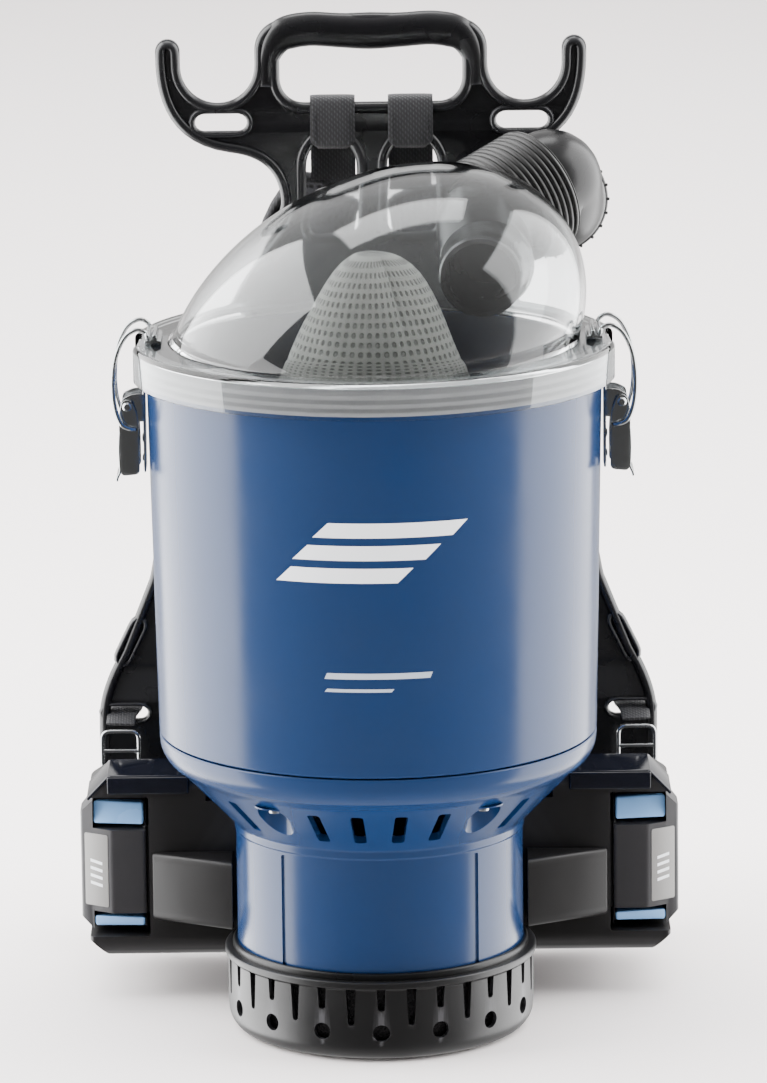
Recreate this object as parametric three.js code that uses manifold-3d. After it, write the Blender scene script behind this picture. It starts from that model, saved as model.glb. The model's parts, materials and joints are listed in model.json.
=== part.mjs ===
// A battery backpack vacuum cleaner: a tapered tank with a clear domed lid, a motor housing and a slotted
// foot below it, and behind it a moulded back frame that carries a cradle with two battery packs and the
// harness. Millimetres, +Z up. The origin is on the tank's axis, at the floor. +Y points at the wearer.
import * as THREE from "three";
import { mergeVertices } from "three/addons/utils/BufferGeometryUtils.js";
import Module from "manifold-3d";

const wasm = await Module();
wasm.setup();

// ---------------------------------------------------------------- driving dimensions
const GAP = 0.3; // between touching pieces
const RUN = 0.5; // between pieces that slide or turn
const ROUND = 36; // facets on the large round pieces
const SMALL_ROUND = 12; // facets on pins, screws and tubes

const TANK = { topR: 131, seamR: 127, seamZ: 178, rimZ: 400, wall: 3, beadR: 134 };
const NECK = { r: 83.5, bottomZ: 45.5, wall: 3, ledgeR: 72 };
const BOWL = { lowR: 116, lowZ: 157.5 };
const FOOT = { r: 89.3, lipR: 90.8, height: 48.5, base: 4.5, wall: 3 };
const DOME = { r: 117, baseZ: 405, height: 99.5, shiftX: 36, shiftY: 20, wall: 3 };
const LID = { skirtR: 139.2, skirtInR: 136.9, skirtZ: 386.5, flangeZ: 404.4, topZ: 408 };
const FILTER = { baseR: 84, baseZ: 192.4, topZ: 458 };
const FRAME = { front: 140, thick: 9, topZ: 575 };
const CRADLE = { halfWidth: 172, front: 46, back: 139.4, bottomZ: 26, topZ: 136, flatTo: 88, backZ: 108 };
const PACK = { inX: 96, outX: 177, front: 49, back: 84, lowZ: 48, topZ: 110 };
const SLEEVE_END_X = 136; // the cradle's front wall covers the pack up to here
const STRAP_X = 22; // each shoulder strap's middle at the top of the frame

// The inlet: its axis through the dome, the far end of the ribbed sleeve, and the swivel's centre and axis
const INLET = {
  start: new THREE.Vector3(57, 60, 460.5),
  along: new THREE.Vector3(0.761, 0.548, 0.347).normalize(),
  sleeveLength: 54,
  sleeveR: 37,
  spigotR: 32,
  boreR: 20,
};
const SWIVEL = {
  centre: new THREE.Vector3(107, 124, 465.5),
  along: new THREE.Vector3(0.05, 0.993, -0.1).normalize(),
  r: 31,
  length: 11,
};
const MOUTH = { centre: new THREE.Vector3(62, 8, 440), along: new THREE.Vector3(0.12, 0.985, 0.12).normalize() };

// ---------------------------------------------------------------- materials
const finish = (color, roughness, metalness = 0, extra = {}) =>
  new THREE.MeshStandardMaterial({ color, roughness, metalness, ...extra });
const BLUE = finish(0x1d4f94, 0.28);
const BLACK = finish(0x17181a, 0.5);
const CLEAR = finish(0xe8edf0, 0.05, 0, { transparent: true, opacity: 0.3 });
const RUBBER = finish(0x6b6c6e, 0.7);
const BLACK_RUBBER = finish(0x131313, 0.8);
const STEEL = finish(0xc9cdd1, 0.25, 1);
const CLOTH = finish(0x9a9b96, 0.95);
const WEBBING = finish(0x2a2a2c, 0.9);
const PADDING = finish(0x202124, 0.95);
const FOAM = finish(0x3a3a3c, 1);
const BUTTON_BLUE = finish(0x7fa6de, 0.35);
const COPPER = finish(0xb46a3a, 0.4, 1);
const BOARD = finish(0x1e5a32, 0.6);
const LIGHT_GREY = finish(0xb4b8b8, 0.3);

// ---------------------------------------------------------------- shape helpers
const vec = (x, y, z) => new THREE.Vector3(x, y, z);

/** A closed geometry as a manifold-3d solid. */
function solid(geometry) {
  const bare = geometry.clone();
  bare.deleteAttribute("normal");
  bare.deleteAttribute("uv");
  const merged = mergeVertices(bare, 1e-4);
  return new wasm.Manifold(
    new wasm.Mesh({
      numProp: 3,
      vertProperties: merged.attributes.position.array,
      triVerts: new Uint32Array(merged.index.array),
    }),
  );
}

/** A manifold-3d solid as a geometry. */
function geometryOf(manifold) {
  const { numProp, vertProperties, triVerts } = manifold.getMesh();
  const points = new Float32Array((vertProperties.length / numProp) * 3);
  for (let i = 0; i < points.length / 3; i++) {
    points.set(vertProperties.subarray(i * numProp, i * numProp + 3), i * 3);
  }
  const geometry = new THREE.BufferGeometry();
  geometry.setAttribute("position", new THREE.BufferAttribute(points, 3));
  geometry.setIndex(new THREE.BufferAttribute(new Uint32Array(triVerts), 1));
  geometry.computeVertexNormals();
  return geometry;
}

/** A profile of [radius, z] points turned about the Z axis. */
const lathe = (profile, facets = ROUND) =>
  new THREE.LatheGeometry(profile.map(([r, z]) => new THREE.Vector2(r, z)), facets).rotateX(Math.PI / 2);

/** A ring of rectangular section. */
const ring = (inR, outR, lowZ, highZ, facets = ROUND) =>
  lathe([[inR, lowZ], [outR, lowZ], [outR, highZ], [inR, highZ], [inR, lowZ]], facets);

/** A box between two corners. */
const block = ([x0, y0, z0], [x1, y1, z1]) =>
  new THREE.BoxGeometry(x1 - x0, y1 - y0, z1 - z0).translate((x0 + x1) / 2, (y0 + y1) / 2, (z0 + z1) / 2);

/** A round bar between two points, or a cone if endR differs. */
function bar(from, to, r, endR = r, facets = SMALL_ROUND) {
  const span = to.clone().sub(from);
  const turn = new THREE.Quaternion().setFromUnitVectors(vec(0, 1, 0), span.clone().normalize());
  return new THREE.CylinderGeometry(endR, r, span.length(), facets)
    .applyQuaternion(turn)
    .translate(...from.clone().addScaledVector(span, 0.5).toArray());
}

/** An outline in X and Z, extruded from y0 to y1. */
const plateXZ = (shape, y0, y1, curveSegments = 6) =>
  new THREE.ExtrudeGeometry(shape, { depth: y1 - y0, bevelEnabled: false, curveSegments })
    .rotateX(Math.PI / 2)
    .translate(0, y1, 0);

/** An outline in Y and Z, extruded from x0 to x1. */
const plateYZ = (points, x0, x1) =>
  new THREE.ExtrudeGeometry(new THREE.Shape(points.map(([y, z]) => new THREE.Vector2(y, z))), {
    depth: x1 - x0,
    bevelEnabled: false,
  })
    .applyMatrix4(new THREE.Matrix4().set(0, 0, 1, x0, 1, 0, 0, 0, 0, 1, 0, 0, 0, 0, 0, 1));

/** A tube of solid round section along a smooth curve through points. */
const rod = (points, r, steps, facets = 8) => {
  const section = new THREE.Shape();
  section.absarc(0, 0, r, 0, 2 * Math.PI);
  const outline = section.getPoints(facets / 2);
  return new THREE.ExtrudeGeometry(new THREE.Shape(outline), {
    steps,
    bevelEnabled: false,
    extrudePath: new THREE.CatmullRomCurve3(points),
  });
};

/** A strap: a flat section swept along points, its width along `across` at each one, closed at both ends. */
function strap(points, widths, thickness, across) {
  const curve = new THREE.CatmullRomCurve3(points);
  const steps = (points.length - 1) * 4;
  const corners = [[-1, -1], [1, -1], [1, 1], [-1, 1]];
  const positions = [];
  for (let i = 0; i <= steps; i++) {
    const u = i / steps;
    const span = u * (widths.length - 1);
    const k = Math.min(Math.floor(span), widths.length - 2);
    const width = THREE.MathUtils.lerp(widths[k], widths[k + 1], span - k);
    const along = curve.getTangent(u);
    const side = across.clone().addScaledVector(along, -across.dot(along)).normalize();
    const face = along.clone().cross(side);
    for (const [a, b] of corners) {
      const p = curve.getPoint(u).addScaledVector(side, (a * width) / 2).addScaledVector(face, (b * thickness) / 2);
      positions.push(p.x, p.y, p.z);
    }
  }
  const index = [0, 2, 1, 0, 3, 2];
  for (let i = 0; i < steps; i++) {
    for (let c = 0; c < 4; c++) {
      const a = i * 4 + c;
      const b = i * 4 + ((c + 1) % 4);
      index.push(a, b, b + 4, a, b + 4, a + 4);
    }
  }
  const end = steps * 4;
  index.push(end, end + 1, end + 2, end, end + 2, end + 3);
  const geometry = new THREE.BufferGeometry();
  geometry.setAttribute("position", new THREE.Float32BufferAttribute(positions, 3));
  geometry.setIndex(index);
  geometry.computeVertexNormals();
  return geometry;
}

/** Joins geometries into one solid, then cuts others from it. */
function build(joined, cut = []) {
  let made = solid(joined[0]);
  for (const g of joined.slice(1)) made = made.add(solid(g));
  for (const g of cut) made = made.subtract(g instanceof wasm.Manifold ? g : solid(g));
  return geometryOf(made);
}

/** Adds a named mesh to a group. */
function add(group, name, geometry, material) {
  const mesh = new THREE.Mesh(geometry, material);
  mesh.name = name;
  group.add(mesh);
  return mesh;
}

/** Runs make(group, side) for the right side, and for the left as its mirror image. */
function bothSides(parent, make) {
  for (const [side, sign] of [["right", 1], ["left", -1]]) {
    const group = new THREE.Group();
    group.scale.x = sign;
    parent.add(group);
    make(group, side, sign);
  }
}

/** Copies of a geometry turned about Z to each angle in degrees. */
const around = (geometry, angles) => angles.map((a) => geometry.clone().rotateZ(THREE.MathUtils.degToRad(a)));

const steps = (count, from, by) => Array.from({ length: count }, (_, i) => from + i * by);

// ---------------------------------------------------------------- tank, motor housing and foot
const FRONT = -90; // the angle of the front, seen from above

function tankGroup() {
  const group = new THREE.Group();
  const { topR, seamR, seamZ, rimZ, wall, beadR } = TANK;
  const floor = 4;
  const airHole = 33;
  const tank = lathe([
    [airHole, seamZ + GAP], [seamR, seamZ + GAP], [topR, rimZ - 8], [beadR, rimZ - 6], [beadR, rimZ],
    [topR - wall, rimZ], [topR - wall, rimZ - 8], [seamR - wall, seamZ + 9], [seamR - wall - 4, seamZ + floor],
    [airHole, seamZ + floor], [airHole, seamZ + GAP],
  ]);
  add(group, "tank", tank, BLUE);

  const w = NECK.wall;
  const shell = lathe([
    [NECK.ledgeR, NECK.bottomZ], [NECK.r, NECK.bottomZ], [NECK.r, 121], [84.6, 125],
    [BOWL.lowR, BOWL.lowZ], [122, 162], [126, 169], [seamR, seamZ - GAP], [seamR - w - 1, seamZ - GAP],
    [seamR - w - 1.4, 171], [118.5, 164.5], [112.5, 160.5], [81.6, 128], [NECK.r - w, 122],
    [NECK.r - w, NECK.bottomZ + w], [NECK.ledgeR, NECK.bottomZ + w], [NECK.ledgeR, NECK.bottomZ],
  ]);
  const bossAngles = [FRONT - 35, FRONT + 35, FRONT + 180];
  // each screw sits up in a round pocket that runs into the cone from below
  const underCone = lathe([[84.6, 100], [140, 100], [140, 182.6], [84.6, 125], [84.6, 100]]);
  const bosses = around(bar(vec(103, 0, 128), vec(103, 0, 160), 12.5, 12.5, 24), bossAngles).map((boss) => build([boss], [underCone]));
  const screwHoles = [
    ...around(bar(vec(103, 0, 100), vec(103, 0, 151.6), 10.4, 10.4, 24), bossAngles),
    ...around(bar(vec(103, 0, 151), vec(103, 0, 156), 2.2, 2.2, 12), bossAngles),
  ];
  const slotAngles = [...steps(4, FRONT - 20, 13.33), ...steps(5, FRONT + 50, 20), ...steps(5, FRONT - 130, 20)];
  const louvres = around(block([80, -3.5, 131], [122, 3.5, 151]), slotAngles);
  const grooves = around(block([82.3, -1.5, 40], [90, 1.5, 120]), [-41.5, 41.5, 138.5, -138.5].map((a) => FRONT + a));
  const leadHole = bar(vec(0, 76, 80), vec(0, 90, 80), 6.3, 6.3, 16);
  add(group, "motor_housing", build([shell, ...bosses], [...screwHoles, ...louvres, ...grooves, leadHole]), BLUE);
  bossAngles.forEach((angle, i) => {
    const screw = build([bar(vec(103, 0, 148.4), vec(103, 0, 151.2), 4.2, 4.2, 12), bar(vec(103, 0, 151), vec(103, 0, 155.5), 1.8, 1.8, 8)]);
    add(group, `housing_screw_${i + 1}`, screw.rotateZ(THREE.MathUtils.degToRad(angle)), STEEL);
  });

  const footShell = lathe([
    [0, 0], [78, 0], [85, 2.2], [89.3, 9], [FOOT.r, 44], [FOOT.lipR, 45.5], [FOOT.lipR, FOOT.height],
    [NECK.r + RUN, FOOT.height], [NECK.r + RUN, 45], [FOOT.r - FOOT.wall, 43.5], [FOOT.r - FOOT.wall, 10],
    [82, FOOT.base], [0, FOOT.base],
  ]);
  const holeAngles = steps(16, FRONT, 22.5);
  const footCuts = [
    ...around(bar(vec(80, 0, 18), vec(95, 0, 18), 5, 5, 8), holeAngles),
    ...around(block([83, -2.2, 31], [95, 2.2, 44]), holeAngles),
    ...around(block([83, -2.2, 22.5], [95, 2.2, 44]), holeAngles.map((a) => a + 11.25)),
  ];
  add(group, "foot_grille", build([footShell], footCuts), BLACK);
  add(group, "exhaust_foam", ring(66, 83, 8, 43, 24), FOAM);
  return group;
}

// ---------------------------------------------------------------- motor, fan and filter inside
function motorGroup() {
  const group = new THREE.Group();
  const airHoles = around(bar(vec(65, 0, 48), vec(65, 0, 62), 10, 10, 8), steps(6, 0, 60));
  add(group, "motor_mount", build([ring(37, 80, 49, 60, 24)], airHoles), BLACK_RUBBER);
  add(group, "motor_stator", lathe([
    [5.6, 60.4], [50, 60.4], [50, 112], [5.6, 112], [5.6, 104], [33, 104], [33, 68], [5.6, 68], [5.6, 60.4],
  ], 20), COPPER);
  add(group, "motor_rotor", lathe([[0, 56], [5, 56], [5, 70], [30, 70], [30, 102], [5, 102], [5, 164], [0, 164]], 16), STEEL);
  const casing = lathe([
    [8, 112.4], [62, 112.4], [62, 171], [28, 171], [28, 169], [60, 169], [60, 114.6], [8, 114.6], [8, 112.4],
  ], 24);
  const outlets = around(block([55, -9, 118], [70, 9, 128]), steps(6, 30, 60));
  add(group, "fan_casing", build([casing], outlets), LIGHT_GREY);
  const wheel = lathe([[5.3, 122], [54, 122], [54, 124], [12, 126], [10, 158], [5.3, 158], [5.3, 122]], 20);
  const blades = around(block([9, -1, 124 - GAP], [53, 1, 158]), steps(7, 0, 360 / 7));
  add(group, "fan_wheel", build([wheel, ...blades]), LIGHT_GREY);
  add(group, "motor_seal", ring(34, 60, 171.3, 178, 24), BLACK_RUBBER);
  add(group, "filter_ring", ring(70, 92, 182.6, 192, 28), BLACK_RUBBER);
  const { baseR, baseZ, topZ } = FILTER;
  const rounded = [0, 0.3, 0.5, 0.68, 0.82, 0.93, 1].map((t) => [baseR * Math.sqrt(1 - t ** 2.6) * (1 - 0.3 * t), baseZ + (topZ - baseZ) * t]);
  add(group, "filter_cone", lathe([[0, baseZ], ...rounded.slice(0, -1), [0, topZ]], 24), CLOTH);
  add(group, "motor_lead", rod([vec(0, 51, 80), vec(0, 65, 78), vec(0, 80, 80), vec(0, 90, 80), vec(0, 99.5, 80)], 3.2, 8), BLACK_RUBBER);
  return group;
}

// ---------------------------------------------------------------- lid, seal and inlet
const onInlet = (distance) => INLET.start.clone().addScaledVector(INLET.along, distance);
const onSwivel = (distance) => SWIVEL.centre.clone().addScaledVector(SWIVEL.along, distance);

/** The dome's outer form grown by `grow`: a half ellipsoid that leans to the right and to the back. */
function domeForm(grow, lowZ) {
  const rise = DOME.height + grow;
  const profile = [[0, lowZ], [DOME.r + grow, lowZ]];
  for (let i = 1; i < 6; i++) {
    const a = (i / 6) * (Math.PI / 2);
    profile.push([(DOME.r + grow) * Math.cos(a), DOME.baseZ + rise * Math.sin(a)]);
  }
  profile.push([0, DOME.baseZ + rise]);
  const lean = new THREE.Matrix4().set(
    1, 0, DOME.shiftX / DOME.height, 0,
    0, 1, DOME.shiftY / DOME.height, 0,
    0, 0, 1, 0,
    0, 0, 0, 1,
  );
  return lathe(profile, 32)
    .translate(0, 0, -DOME.baseZ)
    .applyMatrix4(lean)
    .translate(0, 0, DOME.baseZ);
}

function lidGroup() {
  const group = new THREE.Group();
  const { skirtR, skirtInR, skirtZ, flangeZ, topZ } = LID;
  const { rimZ, beadR, topR, wall } = TANK;
  add(group, "lid_seal", lathe([
    [beadR + GAP, rimZ - 11], [beadR + 2.2, rimZ - 11], [beadR + 2.2, flangeZ - GAP], [topR - wall, flangeZ - GAP],
    [topR - wall, rimZ + GAP], [beadR + GAP, rimZ + GAP], [beadR + GAP, rimZ - 11],
  ]), RUBBER);

  const flange = lathe([
    [DOME.r - wall, flangeZ], [skirtInR, flangeZ], [skirtInR, skirtZ], [skirtR, skirtZ], [skirtR, topZ - 2],
    [skirtR - 1.5, topZ], [DOME.r - wall, topZ], [DOME.r - wall, flangeZ],
  ]);
  const spigot = bar(onInlet(6), onInlet(46), INLET.spigotR, INLET.spigotR, 24);
  const spigotBore = bar(onInlet(-60), onInlet(60), INLET.spigotR - 3, INLET.spigotR - 3, 24);
  const notch = block([132.4, -20, 380], [150, 20, 415]);
  const hollow = domeForm(-DOME.wall, flangeZ - 5);
  const dome = solid(domeForm(0, flangeZ))
    .add(solid(flange))
    .add(solid(spigot).subtract(solid(hollow)))
    .subtract(solid(hollow))
    .subtract(solid(spigotBore))
    .subtract(solid(notch))
    .subtract(solid(notch.clone().translate(-282.4, 0, 0)));
  add(group, "dome_lid", geometryOf(dome), CLEAR);

  bothSides(group, (sideGroup, side) => {
    const catchPlate = build(
      [block([121.5, -19, topZ + GAP], [131.5, 19, topZ + 2.6]), block([121.5, -11, topZ + 2], [126.5, 11, topZ + 6])],
    );
    add(sideGroup, `lid_catch_${side}`, catchPlate, STEEL);
  });

  const { centre, along } = MOUTH;
  const bendPoint = onInlet(0);
  const ductOuter = build([
    bar(centre, centre.clone().addScaledVector(along, 16), 23.5, 28),
    bar(centre.clone().addScaledVector(along, 15.9), bendPoint, 28, 28),
    new THREE.SphereGeometry(28, 16, 8).translate(...bendPoint.toArray()),
    bar(bendPoint, onInlet(44), 28, 28),
  ]);
  const boreR = INLET.boreR + 0.5;
  const ductBore = build([
    bar(centre.clone().addScaledVector(along, -5), bendPoint, boreR),
    new THREE.SphereGeometry(boreR, 16, 8).translate(...bendPoint.toArray()),
    bar(bendPoint, onInlet(50), boreR),
  ]);
  add(group, "inlet_duct", build([ductOuter], [ductBore]), BLACK);

  const { sleeveLength, sleeveR, spigotR } = INLET;
  const sleeve = solid(bar(onInlet(4), onInlet(sleeveLength), sleeveR, sleeveR, 28))
    .subtract(solid(bar(onInlet(0), onInlet(sleeveLength + 5), spigotR + GAP, spigotR + GAP, 24)))
    .subtract(solid(domeForm(GAP + 0.2, 380)));
  add(group, "inlet_sleeve", geometryOf(sleeve), BLACK_RUBBER);

  const elbowCentre = onInlet(62);
  const besideSpigot = solid(bar(onInlet(0), onInlet(sleeveLength + GAP), 70, 70, 16)).subtract(
    solid(bar(onInlet(47), onInlet(70), spigotR - GAP, spigotR - GAP, 24)),
  );
  const elbow = build(
    [
      bar(onInlet(47), elbowCentre, spigotR, spigotR, 24),
      new THREE.SphereGeometry(29, 16, 10).translate(...elbowCentre.toArray()),
      bar(elbowCentre, onSwivel(9), 28),
    ],
    [
      bar(onInlet(40), elbowCentre, INLET.boreR),
      new THREE.SphereGeometry(INLET.boreR, 12, 6).translate(...elbowCentre.toArray()),
      bar(elbowCentre, onSwivel(12), INLET.boreR),
      bar(onSwivel(-2), onSwivel(20), 60, 60, 12),
      besideSpigot,
    ],
  );
  add(group, "inlet_elbow", elbow, BLACK);
  return group;
}

function swivelGroup() {
  const group = new THREE.Group();
  const { r, length } = SWIVEL;
  const bore = bar(onSwivel(-10), onSwivel(length + 10), INLET.boreR + 1, INLET.boreR + 1);
  add(group, "swivel_collar", build([bar(onSwivel(-2 + RUN), onSwivel(2.5), r - 1.5, r - 0.5, 28)], [bore]), LIGHT_GREY);
  const sockets = [
    bar(onSwivel(2.5 + GAP), onSwivel(7), r, r + 1.2, 28),
    bar(onSwivel(6.9), onSwivel(length), r - 1, r - 3, 28),
  ];
  add(group, "hose_socket", build(sockets, [bore]), BLACK);
  return group;
}

// ---------------------------------------------------------------- toggle latches
const LATCH = { pivotX: 142, pivotZ: 371, wirePivotX: 137.6, wirePivotZ: 358, halfWidth: 15, wireR: 1.3 };

function latchGroup(parent) {
  bothSides(parent, (group, side) => {
    const { pivotX, pivotZ, wirePivotX, wirePivotZ, halfWidth, wireR } = LATCH;
    const pin = (x, z, half, r) => bar(vec(x, -half, z), vec(x, half, z), r, r, 12);
    const ear = plateXZ(new THREE.Shape([
      new THREE.Vector2(131.6, 362), new THREE.Vector2(139, 362), new THREE.Vector2(145.5, 367),
      new THREE.Vector2(145.5, 375), new THREE.Vector2(139, 378), new THREE.Vector2(131.6, 378),
    ]), 0, 1.4);
    const bracket = build(
      [
        block([131.6, -halfWidth + 5, 332], [133, halfWidth - 5, 380]),
        ear.clone().translate(0, halfWidth - 6.4, 0),
        ear.clone().translate(0, -halfWidth + 5, 0),
      ],
      [pin(pivotX, pivotZ, 30, 2)],
    );
    add(group, `latch_bracket_${side}`, bracket, STEEL);

    const cheek = plateXZ(new THREE.Shape([
      new THREE.Vector2(134.6, 331), new THREE.Vector2(146.5, 331), new THREE.Vector2(147, 366),
      new THREE.Vector2(144.5, 375), new THREE.Vector2(139.5, 375), new THREE.Vector2(135.6, 366),
    ]), 0, 1.3);
    const lever = build(
      [
        block([145.2, -halfWidth + 2, 328], [146.5, halfWidth - 2, 362]),
        cheek.clone().translate(0, halfWidth - 3.3, 0),
        cheek.clone().translate(0, -halfWidth + 2, 0),
        pin(pivotX, pivotZ, halfWidth - 2, 1.6),
      ],
      [pin(wirePivotX, wirePivotZ, 30, wireR + 0.35)],
    );
    add(group, `latch_lever_${side}`, lever, STEEL);

    const arm = (y) => [
      vec(wirePivotX, y, wirePivotZ), vec(145.5, y, 361.5), vec(149.2, y, 372), vec(149.8, y, 386), vec(147.6, y, 401),
      vec(142, y, 412.5), vec(135, y, 417), vec(130, y, 414.6), vec(129.3, y, 412.4),
    ];
    const wireY = halfWidth + 1;
    const bail = build([
      rod(arm(wireY), wireR, 15, 6),
      rod(arm(-wireY), wireR, 15, 6),
      bar(vec(wirePivotX, -wireY - wireR, wirePivotZ), vec(wirePivotX, wireY + wireR, wirePivotZ), wireR, wireR, 8),
      bar(vec(129.3, -wireY - wireR, 412), vec(129.3, wireY + wireR, 412), wireR, wireR, 8),
    ]);
    add(group, `latch_bail_${side}`, bail, STEEL);
  });
}

// ---------------------------------------------------------------- back frame
/** Half of the frame's outline, x against z, from the crown of the handle down to the stand. */
function frameOutline() {
  const half = new THREE.Path();
  half.moveTo(0, FRAME.topZ);
  half.quadraticCurveTo(40, 574, 52, 571);
  half.absarc(51, 553.5, 17.7, Math.PI / 2 - 0.1, 0, true);
  half.lineTo(68.7, 544);
  half.absarc(90.7, 544, 22, Math.PI, 2 * Math.PI, false);
  half.lineTo(112.7, 553);
  half.absarc(120, 553, 7.3, Math.PI, 0, true);
  half.bezierCurveTo(127.3, 528, 122, 498, 84, 492.5);
  half.bezierCurveTo(64, 490, 54, 480, 54, 461);
  half.bezierCurveTo(56, 448, 72, 436, 86, 408);
  half.bezierCurveTo(110, 360, 128, 280, 136, 235);
  half.lineTo(154, 190);
  half.quadraticCurveTo(167, 168, 168, 150);
  half.lineTo(168, 52);
  half.quadraticCurveTo(168, 30, 150, 30);
  half.lineTo(74, 30);
  half.quadraticCurveTo(61, 30, 60, 20);
  half.lineTo(60, 4);
  half.quadraticCurveTo(60, 0, 56, 0);
  half.lineTo(0, 0);
  const right = half.getPoints(7);
  const left = right.slice(1, -1).reverse().map((p) => new THREE.Vector2(-p.x, p.y));
  return [...right, ...left];
}

/** A slot with round ends, centred on x and z, turned by `turn` from level. */
function slotHole(x, z, length, width, turn = 0) {
  const r = width / 2;
  const reach = length / 2 - r;
  const hole = new THREE.Shape();
  hole.absarc(reach, 0, r, -Math.PI / 2, Math.PI / 2, false);
  hole.absarc(-reach, 0, r, Math.PI / 2, (3 * Math.PI) / 2, false);
  const points = hole.getPoints(5).map((p) => p.rotateAround(new THREE.Vector2(), turn).add(new THREE.Vector2(x, z)));
  return new THREE.Shape(points);
}

/** The hand hole: wide, with round corners, its top edge bowed down by the grip. */
function handHole() {
  const hole = new THREE.Shape();
  hole.moveTo(-40, 521.8);
  hole.lineTo(40, 521.8);
  hole.absarc(40, 535.8, 14, -Math.PI / 2, 0, false);
  hole.lineTo(54, 548);
  hole.absarc(44, 548, 10, 0, Math.PI / 2, false);
  hole.quadraticCurveTo(0, 551.5, -44, 558);
  hole.absarc(-44, 548, 10, Math.PI / 2, Math.PI, false);
  hole.lineTo(-54, 535.8);
  hole.absarc(-40, 535.8, 14, Math.PI, 1.5 * Math.PI, false);
  return hole;
}

/** A tall opening that a shoulder strap's webbing passes through. */
const pocketHole = (x) =>
  new THREE.Shape([
    new THREE.Vector2(x - 15, 446), new THREE.Vector2(x + 15, 446), new THREE.Vector2(x + 15, 494),
    new THREE.Vector2(x + 11, 500), new THREE.Vector2(x - 11, 500), new THREE.Vector2(x - 15, 494),
  ]);

/** A tall window that lightens the plate behind the tank. */
function window(x, lowZ, highZ, lowHalf, highHalf) {
  return new THREE.Shape([
    new THREE.Vector2(x - lowHalf, lowZ), new THREE.Vector2(x + lowHalf, lowZ),
    new THREE.Vector2(x + highHalf, highZ), new THREE.Vector2(x - highHalf, highZ),
  ]);
}

const BRACKET_Z = [212, 352]; // heights of the two saddles that carry the tank

function frameGroup() {
  const group = new THREE.Group();
  const { front, thick } = FRAME;
  const back = front + thick;
  const through = (shape) => plateXZ(shape, front - 5, back + 5, 5);
  const holes = [
    through(handHole()),
    through(slotHole(89, 510.5, 32, 10.5)),
    through(slotHole(-89, 510.5, 32, 10.5)),
    through(pocketHole(STRAP_X + 2)),
    through(pocketHole(-STRAP_X - 2)),
    through(slotHole(148, 196, 30, 5, THREE.MathUtils.degToRad(-64))),
    through(slotHole(-148, 196, 30, 5, THREE.MathUtils.degToRad(64))),
    through(slotHole(152, 152, 28, 8)),
    through(slotHole(-152, 152, 28, 8)),
    through(window(82, 240, 330, 22, 14)),
    through(window(-82, 240, 330, 22, 14)),
    through(window(0, 240, 322, 36, 36)),
  ];
  const body = plateXZ(new THREE.Shape(frameOutline()), front, back);
  add(group, "back_frame", build([body], holes), BLACK);

  BRACKET_Z.forEach((z, i) => {
    const saddle = build(
      [block([-48, 108, z - 16], [48, front - GAP, z + 16])],
      [ring(0.01, TANK.topR + 1, 100, 500, 64)],
    );
    add(group, `tank_saddle_${["lower", "upper"][i]}`, saddle, BLACK);
  });
  return group;
}

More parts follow.
